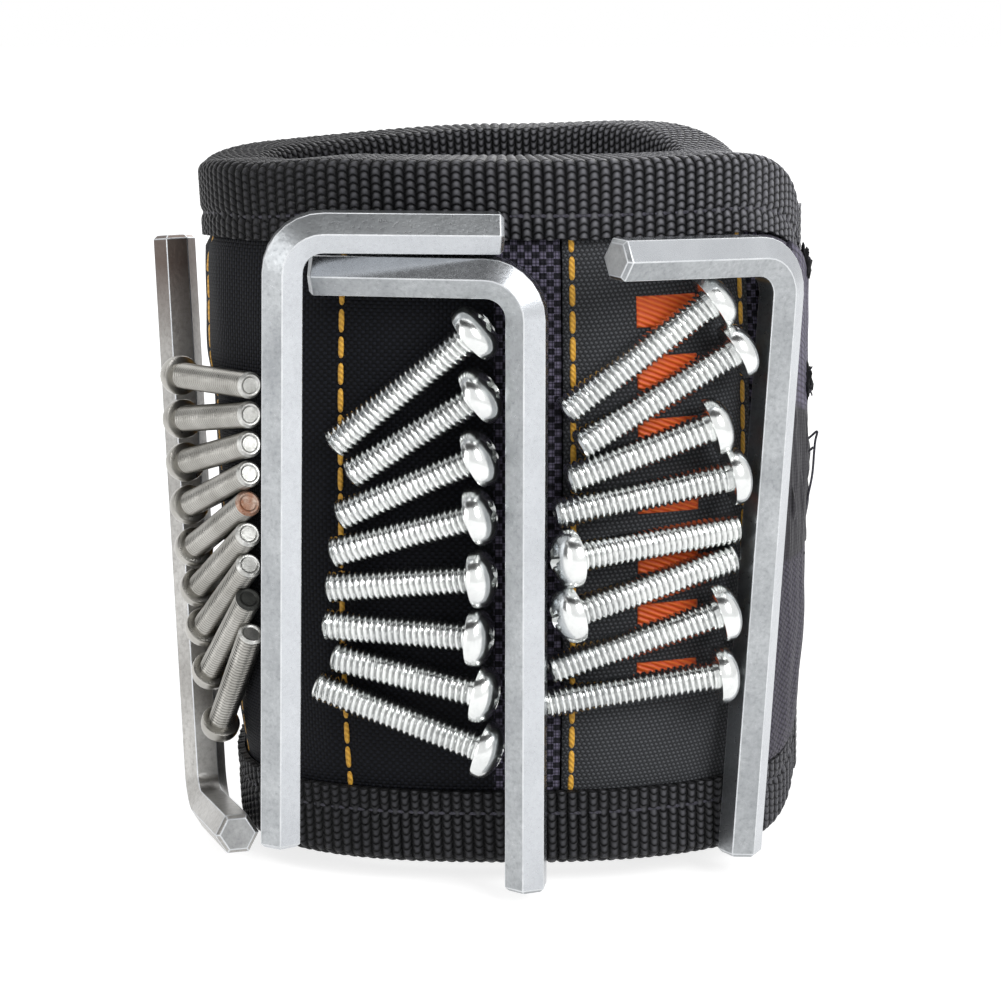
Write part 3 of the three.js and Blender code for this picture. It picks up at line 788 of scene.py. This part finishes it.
def makeRibTree():
    tree, given, out = sizedTree("raisedRibs", ribs, {"webbing": "Material"})
    cloth = addNode(tree, "GeometryNodeInputNamedAttribute", {"Name": "cloth"}, data_type="FLOAT_VECTOR")
    along, across, face = split(tree, cloth[0])
    rib = along / given["ribPitch"]
    ribCentre = inCell(rib)
    ribRise = arcOf(ribCentre * ribCentre)
    bead = across / given["beadPitch"] + staggerOf(rib)
    beadRise = arcOf(inCell(bead).calc("ABSOLUTE") ** 2.5)
    seam = (across - given["seamPlace"]) / given["seamWidth"]
    dip = (seam * seam * -1).calc("EXPONENT")
    height = (ribRise - 1) * given["ribDepth"] + (beadRise - 1) * ribRise * given["beadDepth"]
    height = (height - dip * given["seamDepth"]) * face
    moved = pushed(tree, given["Geometry"], addNode(tree, "GeometryNodeInputNormal")[0], height)
    return finishTree(tree, moved, given["webbing"], out)


ribTree = makeRibTree()


def raiseRibs(piece, **changed):
    sizes = {label: size * mm for label, size in {**ribs, **changed}.items()}
    return runTree(piece, ribTree, {**sizes, "webbing": ribbedWebbing})


def foldedSection(leg, step):  # outer contour from the outside leg over the edge, then back inside
    outside, inside = -proud, loop["wall"] + proud
    radius, thick = loop["bindingRound"], loop["bindingThickness"]
    straight = np.linspace(leg, radius, max(2, int((leg - radius) / step)))[:-1]
    bend = np.linspace(0, math.pi / 2, max(3, int(radius * math.pi / 2 / step)))
    flatCount = max(2, int((inside - outside - 2 * radius) / step))
    flat = np.linspace(outside + radius, inside - radius, flatCount)[1:-1]
    insets = np.concatenate([np.full(len(straight), outside), outside + radius - radius * np.cos(bend), flat,
                             inside - radius + radius * np.sin(bend), np.full(len(straight), inside)])
    depths = np.concatenate([straight, radius - radius * np.sin(bend), np.zeros(len(flat)),
                             radius - radius * np.cos(bend), straight[::-1]])
    across = np.concatenate([[0], np.cumsum(np.hypot(np.diff(insets), np.diff(depths)))])
    face = np.ones(len(insets))
    back = [(inside - thick, leg), (inside - thick, thick), (outside + thick, thick), (outside + thick, leg)]
    insets = np.concatenate([insets, [p[0] for p in back]])
    depths = np.concatenate([depths, [p[1] for p in back]])
    across = np.concatenate([across, np.full(4, across[-1])])
    return insets, depths, across, np.concatenate([face, np.zeros(4)])


def edgeBinding(name, node, edge, into):
    turns = evenTurns(loop["innerEnd"], loop["wrapEnd"], binding["alongStep"])
    insets, depths, across, face = foldedSection(loop["bindingLeg"], binding["acrossStep"])
    piece = sweepPiece(name, turns, insets, edge + into * depths, across, face)
    onBand(raiseRibs(piece), node)


edgeBinding("topBinding", "top_binding", loop["height"], -1)
edgeBinding("bottomBinding", "bottom_binding", 0, 1)


def endBinding(name, node, start, end):  # webbing folded over an end, its ribs running across
    turns = np.linspace(start, end, binding["endRings"])
    count = int(loop["height"] / binding["endStep"])
    heights = np.linspace(binding["endInset"], loop["height"] - binding["endInset"], count)
    insets = np.concatenate([np.full(count, -proud), np.full(count, loop["wall"] + proud)])
    levels = np.concatenate([heights, heights[::-1]])
    piece = sweepPiece(name, turns, insets, levels, levels, np.ones(2 * count))
    cloth = piece.data.attributes["cloth"].data
    values = np.empty(3 * len(cloth))
    cloth.foreach_get("vector", values)
    cloth.foreach_set("vector", np.ravel(values.reshape(-1, 3)[:, [1, 0, 2]]))
    raiseRibs(piece, ribDepth=binding["endRibDepth"], seamPlace=binding["noSeam"])
    onBand(piece, node)


innerEdge = loop["innerEnd"] - seamTurn
endBinding("innerEndBinding", "inner_end_binding", innerEdge - endBindingTurn, innerEdge)
endBinding("outerEndBinding", "outer_end_binding", loop["wrapEnd"] + seamTurn, outerEndTurn)
print("bindings made")

# patch, loop pad and strap
strap = {
    "width": 50,
    "thickness": 1.3,
    "centre": 48,
    "foldTurn": 384,
    "nearShare": 0.6,
    "endTurn": 440,
    "hook": 1,
    "hookTurns": (387.6, 439),
    "hookMargin": 1,
    "patch": 1,
    "patchTurns": (329, 348),
    "padTurns": (32, 98),
    "padWidth": 54,
}
fold = {"turns": (337.5, 353.6), "out": 2.35, "thickness": 0.75, "low": 37.5, "width": 43.7}
strapRootTurn = outerEndTurn + seamTurn
midTurn = strapRootTurn + strap["nearShare"] * (strap["foldTurn"] - strapRootTurn)
patchOut = -loop["seam"] - strap["patch"]
patchInset = patchOut - loop["bulge"]
patchLow = loop["bindingLeg"] + loop["seam"]
patchHigh = loop["height"] - loop["bindingLeg"] - loop["seam"]


def strapShift(turn):
    rootInset = loop["wall"] / 2 - strap["thickness"] / 2
    padFace = spiralInset(turn - 360) - loop["seam"] - strap["patch"] - loop["bulge"]
    laid = padFace - loop["seam"] - strap["hook"] - loop["seam"] - strap["thickness"]
    return rootInset + (laid - rootInset) * risen(turn, strapRootTurn, strap["foldTurn"] - strapRootTurn)


def levelsOf(width):  # the heights of both edges of a strip that lies at the strap's level
    return strap["centre"] - width / 2, strap["centre"] + width / 2


def flatPiece(name, turns, section, shift, finish, step=0.8, bowed=False, creased=None):
    turns = evenTurns(*turns, step)
    insets, heights, face = section
    insets = np.broadcast_to(insets, (len(turns), len(insets)))
    if bowed:
        insets = insets - bulgeAt(heights)[None, :]
    if creased is not None:
        insets = insets - creased(turns, heights)
    piece = sweepPiece(name, turns, insets, heights, heights, face, shift)
    piece.data.materials.append(finish)
    return piece


def crumple(turns, heights):  # creases that run up and down the patch, none at its edges
    hold = np.clip(np.minimum(heights - heights.min(), heights.max() - heights) / 6, 0, 1)
    return 0.45 * np.clip(folds(turns, heights, 2.2, 11, 3.0) + 0.2, -0.2, 1) * hold[None, :]


def rumple(turns, heights):  # quiet under the tape, deeply creased below it
    deep = fallen(heights, 60, 4) * risen(heights, heights.min(), 3) + 0.15
    return 0.9 * np.clip(folds(turns, heights, 1.9, 6, 8.0), -0.15, 1) * deep[None, :]


patchSection = sheetSection(patchOut, -loop["seam"], patchLow, patchHigh, 0.8)
anchorPatch = flatPiece("anchorPatch", strap["patchTurns"], patchSection, spiralInset, patchCloth,
                        0.5, True, crumple)
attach(anchorPatch, "band")
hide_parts("strap_anchor_patch")
foldLevels = (fold["low"], fold["low"] + fold["width"])
foldSection = sheetSection(-fold["out"], fold["thickness"] - fold["out"], *foldLevels, 0.6)
edgeFold = flatPiece("edgeFold", fold["turns"], foldSection, spiralInset, patchCloth,
                     0.4, False, rumple)
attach(edgeFold, "band")
laidLength(*fold["turns"], -fold["out"])
laidLength(*strap["patchTurns"], patchInset)
padSection = sheetSection(patchOut, -loop["seam"], *levelsOf(strap["padWidth"]), 1.0)
loopPad = flatPiece("loopPad", strap["padTurns"], padSection, spiralInset, finishes["liningMesh"],
                    1.0, True)
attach(loopPad, "band")
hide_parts("loop_pad")
laidLength(*strap["padTurns"], patchInset)

strapSection = sheetSection(0, strap["thickness"], *levelsOf(strap["width"]), 0.8)
hookWidth = strap["width"] - 2 * strap["hookMargin"]
hookOut = strap["thickness"] + loop["seam"]
hookSection = sheetSection(hookOut, hookOut + strap["hook"], *levelsOf(hookWidth), 1.0)
nearTurns, farTurns = (strapRootTurn, midTurn), (midTurn, strap["endTurn"])
strapCloth = finishes["strapWebbing"]
strapNear = flatPiece("strapNear", nearTurns, strapSection, strapShift, strapCloth)
strapFar = flatPiece("strapFar", farTurns, strapSection, strapShift, strapCloth)
hookTape = flatPiece("hookTape", strap["hookTurns"], hookSection, strapShift, finishes["liningMesh"],
                     1.2)
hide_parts("strap_root")
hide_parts("strap_tip")
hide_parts("strap_hook_tape")


def onStrap(turn):
    return tuple(float(v) for v in wrapPoint(turn, strapShift(np.array(float(turn))), strap["centre"]))


onStrap(strapRootTurn + 0.5)
onStrap(strapRootTurn + 6)
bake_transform(strapNear)
onStrap(strap["foldTurn"] - 5)
onStrap(strap["foldTurn"] + 3)
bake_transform(strapFar)
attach(hookTape, "strap_tip")
laidLength(*nearTurns, 0, strapShift)
laidLength(*farTurns, 0, strapShift)
laidLength(*strap["hookTurns"], strap["thickness"], strapShift)
print("strap made")

# stitches
stitches = {
    "gold": {"pitch": 3.3, "width": 0.82, "rise": 0.56},
    "black": {"pitch": 2.6, "width": 0.5, "rise": 0.3},
    "lengthShare": 0.94,
    "seed": 5,
    "sunk": 0.05,
    "bindingSunk": 0.15,
}


def makeStitchTree():
    tree, given, out = sizedTree("stitchRow", ("pitch", "lengthShare", "width", "rise"),
                                 {"seed": "Int", "thread": "Material"})
    curve = addNode(tree, "GeometryNodeMeshToCurve", {0: given["Geometry"]})
    spaced = addNode(tree, "GeometryNodeResampleCurve", {0: curve[0], "Length": given["pitch"]},
                     mode="LENGTH")
    points = addNode(tree, "GeometryNodeCurveToPoints", {0: spaced[0]}, mode="EVALUATED")
    ball = addNode(tree, "GeometryNodeMeshUVSphere", {"Segments": 12, "Rings": 8, "Radius": 0.5})
    x, y, z = split(tree, addNode(tree, "GeometryNodeInputPosition")[0])
    blunt = (x * 2).calc("ABSOLUTE") ** 0.4 * 0.5 * x.calc("SIGN")
    bluntBall = addNode(tree, "GeometryNodeSetPosition", {
        "Geometry": ball["Mesh"], "Position": joined(tree, blunt, y, z)})
    smooth = addNode(tree, "GeometryNodeSetShadeSmooth", {0: bluntBall[0]})
    lift = addNode(tree, "GeometryNodeInputNamedAttribute", {"Name": "lift"}, data_type="FLOAT_VECTOR")
    turned = addNode(tree, "FunctionNodeAxesToRotation", {0: points["Tangent"], 1: lift[0]},
                     primary_axis="X", secondary_axis="Z")
    shake = addNode(tree, "FunctionNodeRandomValue", {2: 0.9, 3: 1.08, "Seed": given["seed"]},
                    data_type="FLOAT")
    length = given["pitch"] * given["lengthShare"] * shake[1]
    placed = addNode(tree, "GeometryNodeInstanceOnPoints", {
        "Points": points["Points"], "Instance": smooth[0], "Rotation": turned[0],
        "Scale": joined(tree, length, given["width"], given["rise"])})
    return finishTree(tree, placed[0], given["thread"], out)


stitchTree = makeStitchTree()


def stitchRow(name, lines, thread, size):  # each line is its points and the way out of the cloth there
    points, edges, lifts = [], [], []
    for line, ways in lines:
        start = len(points)
        points += [tuple(p) for p in line]
        lifts += [tuple(w) for w in ways]
        edges += [(start + i, start + i + 1) for i in range(len(line) - 1)]
    mesh = bpy.data.meshes.new(name)
    mesh.from_pydata(points, edges, [])
    mesh.attributes.new("lift", "FLOAT_VECTOR", "POINT").data.foreach_set("vector", np.ravel(lifts))
    piece = newObject(name, mesh)
    lengths = {label: value * mm for label, value in size.items()}
    runTree(piece, stitchTree, {**lengths, "lengthShare": stitches["lengthShare"],
                                "seed": stitches["seed"], "thread": thread})
    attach(piece, "band")


def faceLine(turns, insets, heights, side=1):  # points on a swept face and the way out of it there
    turns, insets, heights = np.broadcast_arrays(np.asarray(turns, float), insets, heights)
    line = wrapPoint(turns, insets + spiralInset(turns), heights)
    ways = wrapPoint(turns, insets + spiralInset(turns) - side, heights) - line
    return line, ways / np.linalg.norm(ways, axis=1)[:, None]


goldLines = []
for turn in wall["seamTurns"]:
    heights = np.linspace(patchLow, patchHigh, 60)
    insets = wall["seamDip"] - bulgeAt(heights) - upperFill(turn, heights) - stitches["sunk"]
    goldLines.append(faceLine(turn + leanAt(turn, heights), insets, heights))
stitchRow("goldStitches", goldLines, goldThread, stitches["gold"])
blackLines = []
bindingTurns = evenTurns(loop["innerEnd"] + 1, loop["wrapEnd"] - 1, 2.0)
sunk = ribs["seamDepth"] + stitches["bindingSunk"]
for height in (loop["height"] - binding["seamFromEdge"], binding["seamFromEdge"]):
    blackLines.append(faceLine(bindingTurns, -proud + sunk, height))
    blackLines.append(faceLine(bindingTurns, loop["wall"] + proud - sunk, height, -1))
stitchRow("blackStitches", blackLines, blackThread, stitches["black"])
print("stitches made")

# frayed cloth and loose threads at the folded edge
fray = {
    "lumps": [((43.1, -4, 77.6), (0.9, 1.2, 2.6)), ((43.7, -4, 62.5), (0.8, 1.2, 2.2)),
              ((43.1, -4, 39.6), (0.9, 1.1, 1.7))],
    "threads": [[(43.2, -4, 53.9), (44.5, -4.2, 55.1), (45.3, -4.4, 55.8), (45.1, -4.2, 54.5), (45, -4, 52.9),
                 (44.8, -4, 49.8), (44.2, -4, 46.4), (43.8, -4, 43), (43.5, -4, 40.3)],
                [(43.6, -4, 52.5), (44.5, -4.2, 53.3), (44.8, -4.5, 53.7)]],
    "threadRadius": 0.16,
    "tufts": 5,
    "tuftReach": 1.1,
}


def addTube(points, faces, line, radius, sides=6):  # a thread of a closed round section, thinner at its ends
    start = len(points)
    for i, place in enumerate(line):
        way = (line[min(i + 1, len(line) - 1)] - line[max(i - 1, 0)]).normalized()
        side = way.cross(Vector((0.2, 1, 0.1))).normalized()
        up = way.cross(side)
        thick = radius * (0.5 if i in (0, len(line) - 1) else 1)
        for k in range(sides):
            angle = 2 * math.pi * k / sides
            points.append(tuple((place + (side * math.cos(angle) + up * math.sin(angle)) * thick) * mm))
    for i in range(len(line) - 1):
        a, b = start + i * sides, start + (i + 1) * sides
        faces += [(a + k, a + (k + 1) % sides, b + (k + 1) % sides, b + k) for k in range(sides)]
    faces.append(tuple(range(start, start + sides))[::-1])
    faces.append(tuple(range(start + (len(line) - 1) * sides, start + len(line) * sides)))


def smoothLine(line, count=8):  # rounded between the given points
    line = [Vector(p) for p in line]
    ends = [line[0]] + line + [line[-1]]
    out = []
    for i in range(1, len(ends) - 2):
        a, b, c, d = ends[i - 1:i + 3]
        for k in range(count):
            t = k / count
            out.append(0.5 * (2 * b + (c - a) * t + (2 * a - 5 * b + 4 * c - d) * t ** 2
                              + (3 * b - a - 3 * c + d) * t ** 3))
    return out + [line[-1]]


def drawn(*bounds):  # a random number within each pair of bounds
    return [random.uniform(*pair) for pair in bounds]


random.seed(11)
points, faces = [], []
for line in fray["threads"]:
    addTube(points, faces, smoothLine(line), fray["threadRadius"])
for place, size in fray["lumps"]:
    for k in range(fray["tufts"]):
        x, y, z = drawn((0, 0.4), (-1, 0), (-0.8, 0.8))
        root = Vector(place) + Vector((x, y, z * size[2]))
        tip = root + Vector(drawn((0.2, 0.5), (-0.6, 0.3), (-0.8, 0.8))) * fray["tuftReach"]
        middle = (root + tip) / 2 + Vector(drawn((0, 0.3), (-0.3, 0.3), (-0.4, 0.4)))
        addTube(points, faces, smoothLine([root, middle, tip], 4), fray["threadRadius"] * 0.7, 5)
mesh = bpy.data.meshes.new("looseThreads")
mesh.from_pydata(points, [], faces)
looseThreads = newObject("looseThreads", finishMesh(mesh))
looseThreads.data.materials.append(blackThread)
lumps = bmesh.new()
for count, (place, size) in enumerate(fray["lumps"]):
    for vert in bmesh.ops.create_icosphere(lumps, subdivisions=4, radius=1)["verts"]:
        broad = noise.noise(vert.co * 2.2 + Vector((count * 5, 0, 0)))
        swell = 1 + 0.5 * broad + 0.2 * noise.noise(vert.co * 7)
        vert.co = (Vector(place) + Vector([c * r * swell for c, r in zip(vert.co, size)])) * mm
mesh = bpy.data.meshes.new("frayedLumps")
lumps.to_mesh(mesh)
lumps.free()
frayedLumps = newObject("frayedLumps", finishMesh(mesh))
frayedLumps.data.materials.append(finishes["liningMesh"])
setCloth(frayedLumps.data, [tuple(v.co) for v in frayedLumps.data.vertices])
for piece in (looseThreads, frayedLumps):
    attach(piece, "band")
print("frays made")

# hex keys
keyEdge = {"bevel": 0.11, "segments": 2, "bevelFrom": 25, "endArea": 40, "litFrom": 0.3}
# the way each key's lit facets face; these facets get the painted-light plating
paintedLitFacets = {"hex_key_left": (1, 0, -1), "hex_key_middle": (1, 0, 1), "hex_key_right": (1, 0, 1)}
for name in ("hex_key_side", "hex_key_left", "hex_key_middle", "hex_key_right"):
    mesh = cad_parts[name].data.copy()
    mesh.materials.clear()
    for finish in ("keyWorn" if name == "hex_key_side" else "keyPlate", "keyEnd", "keyArris", "keyBright"):
        mesh.materials.append(finishes[finish])
    shape = bmesh.new()
    shape.from_mesh(mesh)
    bmesh.ops.remove_doubles(shape, verts=shape.verts, dist=2e-6)
    bmesh.ops.dissolve_limit(shape, angle_limit=math.radians(2), verts=shape.verts, edges=shape.edges)
    shape.normal_update()
    for face in shape.faces:  # the ends, then the facets turned towards the light, which get a lighter copy of the plating as painted light
        litFacet = face.normal.dot(Vector(paintedLitFacets.get(name, (0, 0, 0)))) > keyEdge["litFrom"]
        end = len(face.edges) > 4 and face.calc_area() < keyEdge["endArea"] * mm * mm
        face.material_index = 1 if end else (3 if litFacet else 0)
    shape.to_mesh(mesh)
    shape.free()
    piece = newObject(name.replace("hex_key_", "key").title().replace("Key", "key"), mesh)
    rounder = piece.modifiers.new("edges", "BEVEL")
    rounder.width = keyEdge["bevel"] * mm
    rounder.segments = keyEdge["segments"]
    rounder.limit_method = "ANGLE"
    rounder.angle_limit = math.radians(keyEdge["bevelFrom"])
    # the bevels take the painted-highlight plating
    rounder.material = 2
    mesh.polygons.foreach_set("use_smooth", [True] * len(mesh.polygons))
    piece.modifiers.new("flats", "WEIGHTED_NORMAL")
    bake(piece)
    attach(piece, name)
    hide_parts(name)
print("hex keys made")

# machine screws
screwSizes = {
    "slim": {"length": 19, "radius": 1.72, "head": 2.6, "pitch": 0.56, "depth": 0.16},
    "short": {"length": 19, "radius": 1.98, "head": 3.74, "pitch": 0.8, "depth": 0.32},
    "long": {"length": 22.6, "radius": 1.98, "head": 3.74, "pitch": 0.8, "depth": 0.32},
}
screwForm = {
    "headHeight": 3.0,
    "rim": 0.8,
    "chamfer": 0.3,
    "dish": 0.18,
    "dishRim": [(0.6, 0.03), (0.52, 0)],
    "domeAngles": (10, 20, 30, 40, 50, 60, 70, 80, 86),
    "domePower": 0.92,
    "threadFrom": 0.32,
    "threadShort": 0.5,
    "recess": 1.9,
    "recessWidth": 1.0,
    "recessDepth": 1.7,
    "recessHead": 3.6,
    "recessTaper": (0.45, 0.7),
    "recessOver": 0.5,
    "sides": 28,
    "stepsPerTurn": 8,
    "sharpFrom": 34,
}


def makeThreadTree():
    tree, given, out = sizedTree("cutThread", ("pitch", "depth", "start", "stop"), {"plate": "Material"})
    x, y, z = split(tree, addNode(tree, "GeometryNodeInputPosition")[0])
    phase = z / given["pitch"] - y.calc("ARCTAN2", x) / (2 * math.pi)
    valley = (inCell(phase).calc("ABSOLUTE") * 1.35 - 0.35).calc("MAXIMUM", 0).calc("MINIMUM", 1)
    valley = valley * (z.calc("GREATER_THAN", given["start"]) * z.calc("LESS_THAN", given["stop"]))
    way = addNode(tree, "ShaderNodeVectorMath", {0: joined(tree, x, y, 0.0)}, operation="NORMALIZE")
    # the valley share is also stored, for painted shade at the bottom of the thread
    stored = addNode(tree, "GeometryNodeStoreNamedAttribute", {
        "Geometry": given["Geometry"], "Name": "valley", "Value": valley}, data_type="FLOAT", domain="POINT")
    moved = pushed(tree, stored[0], way[0], valley * (given["depth"] * -1))
    return finishTree(tree, moved, given["plate"], out)


threadTree = makeThreadTree()


def lathe(profile, sides):  # closed turning about Z from the axis round to the axis, in millimetres
    points = [(0, 0, profile[0][1])]
    for radius, z in profile[1:-1]:
        points += [(radius * math.cos(2 * math.pi * i / sides), radius * math.sin(2 * math.pi * i / sides), z)
                   for i in range(sides)]
    points.append((0, 0, profile[-1][1]))
    faces = [(0, 1 + (i + 1) % sides, 1 + i) for i in range(sides)]
    for ring in range(len(profile) - 3):
        a, b = 1 + ring * sides, 1 + (ring + 1) * sides
        faces += [(a + i, a + (i + 1) % sides, b + (i + 1) % sides, b + i) for i in range(sides)]
    a, top = 1 + (len(profile) - 3) * sides, len(points) - 1
    faces += [(a + i, a + (i + 1) % sides, top) for i in range(sides)]
    return [tuple(v * mm for v in p) for p in points], faces


def screwProfile(size, form):
    length, radius, head, chamfer = size["length"], size["radius"], size["head"], form["chamfer"]
    steps = int(length / size["pitch"] * form["stepsPerTurn"])
    tip = [(0, form["dish"]), (radius - 0.75, form["dish"])] + [(radius - r, z) for r, z in form["dishRim"]]
    tip += [(radius - chamfer - 0.04, 0), (radius - chamfer, 0.03)]
    shank = [(radius, chamfer + (length - chamfer) * i / steps) for i in range(steps + 1)]
    under = [(head - 0.25, length), (head - 0.06, length + 0.08), (head, length + 0.25),
             (head, length + form["rim"])]
    high = form["headHeight"] - form["rim"]
    dome = [(head * math.cos(a), length + form["rim"] + high * math.sin(a) ** form["domePower"])
            for a in map(math.radians, form["domeAngles"])]
    return tip + shank + under + dome + [(0, length + form["headHeight"])]


def recessCutter(size, form):  # two tapered blades across each other
    tool = bmesh.new()
    top = (size["length"] + form["headHeight"] + form["recessOver"]) * mm
    bottom = top - (form["recessDepth"] + form["recessOver"]) * mm
    scale = size["head"] / form["recessHead"]
    for angle in (0, math.pi / 2):
        blade = bmesh.ops.create_cube(tool, size=1)["verts"]
        for vert in blade:
            deep = vert.co.z < 0
            long, wide = form["recessTaper"] if deep else (1, 1)
            span = form["recess"] * long * 2 * scale
            breadth = form["recessWidth"] * wide * scale
            vert.co = Vector((vert.co.x * span * mm, vert.co.y * breadth * mm, bottom if deep else top))
        bmesh.ops.rotate(tool, verts=blade, cent=(0, 0, 0), matrix=Matrix.Rotation(angle, 3, "Z"))
    mesh = bpy.data.meshes.new("driver")
    tool.to_mesh(mesh)
    tool.free()
    return newObject("driver", mesh)


def screwShape(kind):
    size, form = screwSizes[kind], screwForm
    points, faces = lathe(screwProfile(size, form), form["sides"])
    mesh = bpy.data.meshes.new("screw_" + kind)
    mesh.from_pydata(points, [], faces)
    piece = newObject("screw_" + kind, finishMesh(mesh))
    threadEnd = (size["length"] - form["threadShort"]) * mm
    runTree(piece, threadTree, {"pitch": size["pitch"] * mm, "depth": size["depth"] * mm,
                                "start": form["threadFrom"] * mm, "stop": threadEnd,
                                "plate": finishes["slimPlate" if kind == "slim" else "screwPlate"]})
    cutter = recessCutter(size, form)
    cut = piece.modifiers.new("recess", "BOOLEAN")
    cut.object = cutter
    cut.operation = "DIFFERENCE"
    cut.solver = "EXACT"
    cut.use_self = True
    bake(piece)
    piece.data.set_sharp_from_angle(angle=math.radians(form["sharpFrom"]))
    bpy.data.objects.remove(cutter)
    return piece


screwShapes = {kind: screwShape(kind) for kind in screwSizes}


def screwPlace(node):  # tip, direction and length of a packed screw, from its own points
    points = np.array([tuple(v.co) for v in node.data.vertices])
    points = np.unique(np.round(points, 6), axis=0)
    centre = points.mean(0)
    axis = np.linalg.svd(points - centre)[2][0]
    along = (points - centre) @ axis
    reach = np.linalg.norm(points - centre - along[:, None] * axis, axis=1)
    if reach[along > 0].max() < reach[along < 0].max():
        axis, along = -axis, -along
    low = points[along < along.min() + 1e-4].mean(0)
    return low, axis, along.max() - along.min()


tips = {"screw_left_5": "rustedTip", "screw_left_8": "darkTip"}
tipHeight = 0.4 * mm
shortWhole = 24 * mm
random.seed(4)
for name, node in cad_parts.items():
    if not name.startswith("screw_"):
        continue
    tip, axis, whole = screwPlace(node)
    kind = "slim" if "left" in name else ("short" if whole < shortWhole else "long")
    turn = Vector((0, 0, 1)).rotation_difference(Vector(axis)).to_matrix().to_4x4()
    spin = Matrix.Rotation(random.uniform(0, math.pi / 2), 4, "Z")
    mesh = screwShapes[kind].data.copy()
    if kind == "slim":
        # the end faces of the slim screws get their own finish; the usual one is a painted highlight
        mesh.materials.append(finishes[tips.get(name, "brightTip")])
        for face in mesh.polygons:
            if face.center.z < tipHeight:
                face.material_index = len(mesh.materials) - 1
    mesh.transform(Matrix.Translation(Vector(tip)) @ turn @ spin)
    piece = newObject(name.replace("_", ""), mesh)
    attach(piece, name)
    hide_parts(name)
for piece in screwShapes.values():
    bpy.data.objects.remove(piece)
print("screws made")

# floor, light and camera
studio = {
    "centre": (0, 0, 0.045),
    "floorSize": 3.0,
    "floorDrop": 0.0002,
    "floorGrey": 0.45,
    "floorGlow": 0.8,
    "worldStrength": 0.5,
    "cardGrey": 0.06,
    "lamps": {
        "keyLight": ((0.55, -0.65, 0.6), 0.5, 6.0),
        "fillLight": ((-0.8, -0.6, 0.3), 0.6, 2.2),
        "topLight": ((0, 0.1, 0.9), 0.8, 2.0),
        "backLight": ((0.3, 0.8, 0.5), 0.6, 2.5),
    },
    "cards": {"cardAbove": ((0, -0.4, 0.85), (1.6, 0.55)), "cardLeft": ((-0.9, -0.25, 0.25), (0.5, 0.9))},
}


def aimed(item, place):  # turned to the middle of the band
    item.location = place
    item.rotation_euler = (Vector(studio["centre"]) - Vector(place)).to_track_quat("-Z", "Y").to_euler()


def plane(name, width, depth):
    a, b = width / 2, depth / 2
    mesh = bpy.data.meshes.new(name)
    mesh.from_pydata([(-a, -b, 0), (a, -b, 0), (a, b, 0), (-a, b, 0)], [], [(0, 1, 2, 3)])
    return newObject(name, mesh)


for name, (place, size, power) in studio["lamps"].items():
    data = bpy.data.lights.new(name, "AREA")
    data.shape = "RECTANGLE"
    data.size = size
    data.size_y = size
    data.energy = power
    light = bpy.data.objects.new(name, data)
    bpy.context.scene.collection.objects.link(light)
    aimed(light, place)

# out of the camera's sight, so that the bright metal has something dark to mirror
for name, (place, size) in studio["cards"].items():
    card = plane(name, *size)
    aimed(card, place)
    card.visible_camera = card.visible_shadow = card.visible_diffuse = False
    material, tree, shader = newMaterial(name, 1.0)
    shader.inputs["Base Color"].default_value = (studio["cardGrey"],) * 3 + (1,)
    card.data.materials.append(material)


def seenItself(tree):  # 1 for rays that show a surface, 0 for the light that it sheds
    path = addNode(tree, "ShaderNodeLightPath")
    mirrored = path["Is Glossy Ray"].calc("MAXIMUM", path["Is Transmission Ray"])
    return path["Is Camera Ray"].calc("MAXIMUM", mirrored)


floor = plane("floor", studio["floorSize"], studio["floorSize"])
floor.location.z = -studio["floorDrop"]
material, tree, shader = newMaterial("paleFloor", 0.9, specular=0)
shader.inputs["Base Color"].default_value = (studio["floorGrey"],) * 3 + (1,)
shader.inputs["Emission Color"].default_value = (1, 1, 1, 1)
connect(seenItself(tree) * studio["floorGlow"], shader.inputs["Emission Strength"])
floor.data.materials.append(material)

world = bpy.data.worlds.new("studio")
bpy.context.scene.world = world
world.use_nodes = True
background = world.node_tree.nodes["Background"]
background.inputs["Color"].default_value = (1, 1, 1, 1)
glow = seenItself(world.node_tree) * (1 - studio["worldStrength"]) + studio["worldStrength"]
connect(glow, background.inputs["Strength"])

camera = {"place": (3.399, -417.05, 135.44), "pitch": 12.17, "lens": 114.19}
cameraData = bpy.data.cameras.new("camera")
cameraData.lens = camera["lens"]
cameraData.sensor_width = 36
cameraData.clip_start = 0.01
cameraData.clip_end = 20
view = bpy.data.objects.new("camera", cameraData)
bpy.context.scene.collection.objects.link(view)
view.location = Vector(camera["place"]) * mm
view.rotation_euler = (math.radians(90 - camera["pitch"]), 0, 0)
bpy.context.scene.camera = view
bpy.context.scene.view_settings.view_transform = "Standard"

print("scene complete")
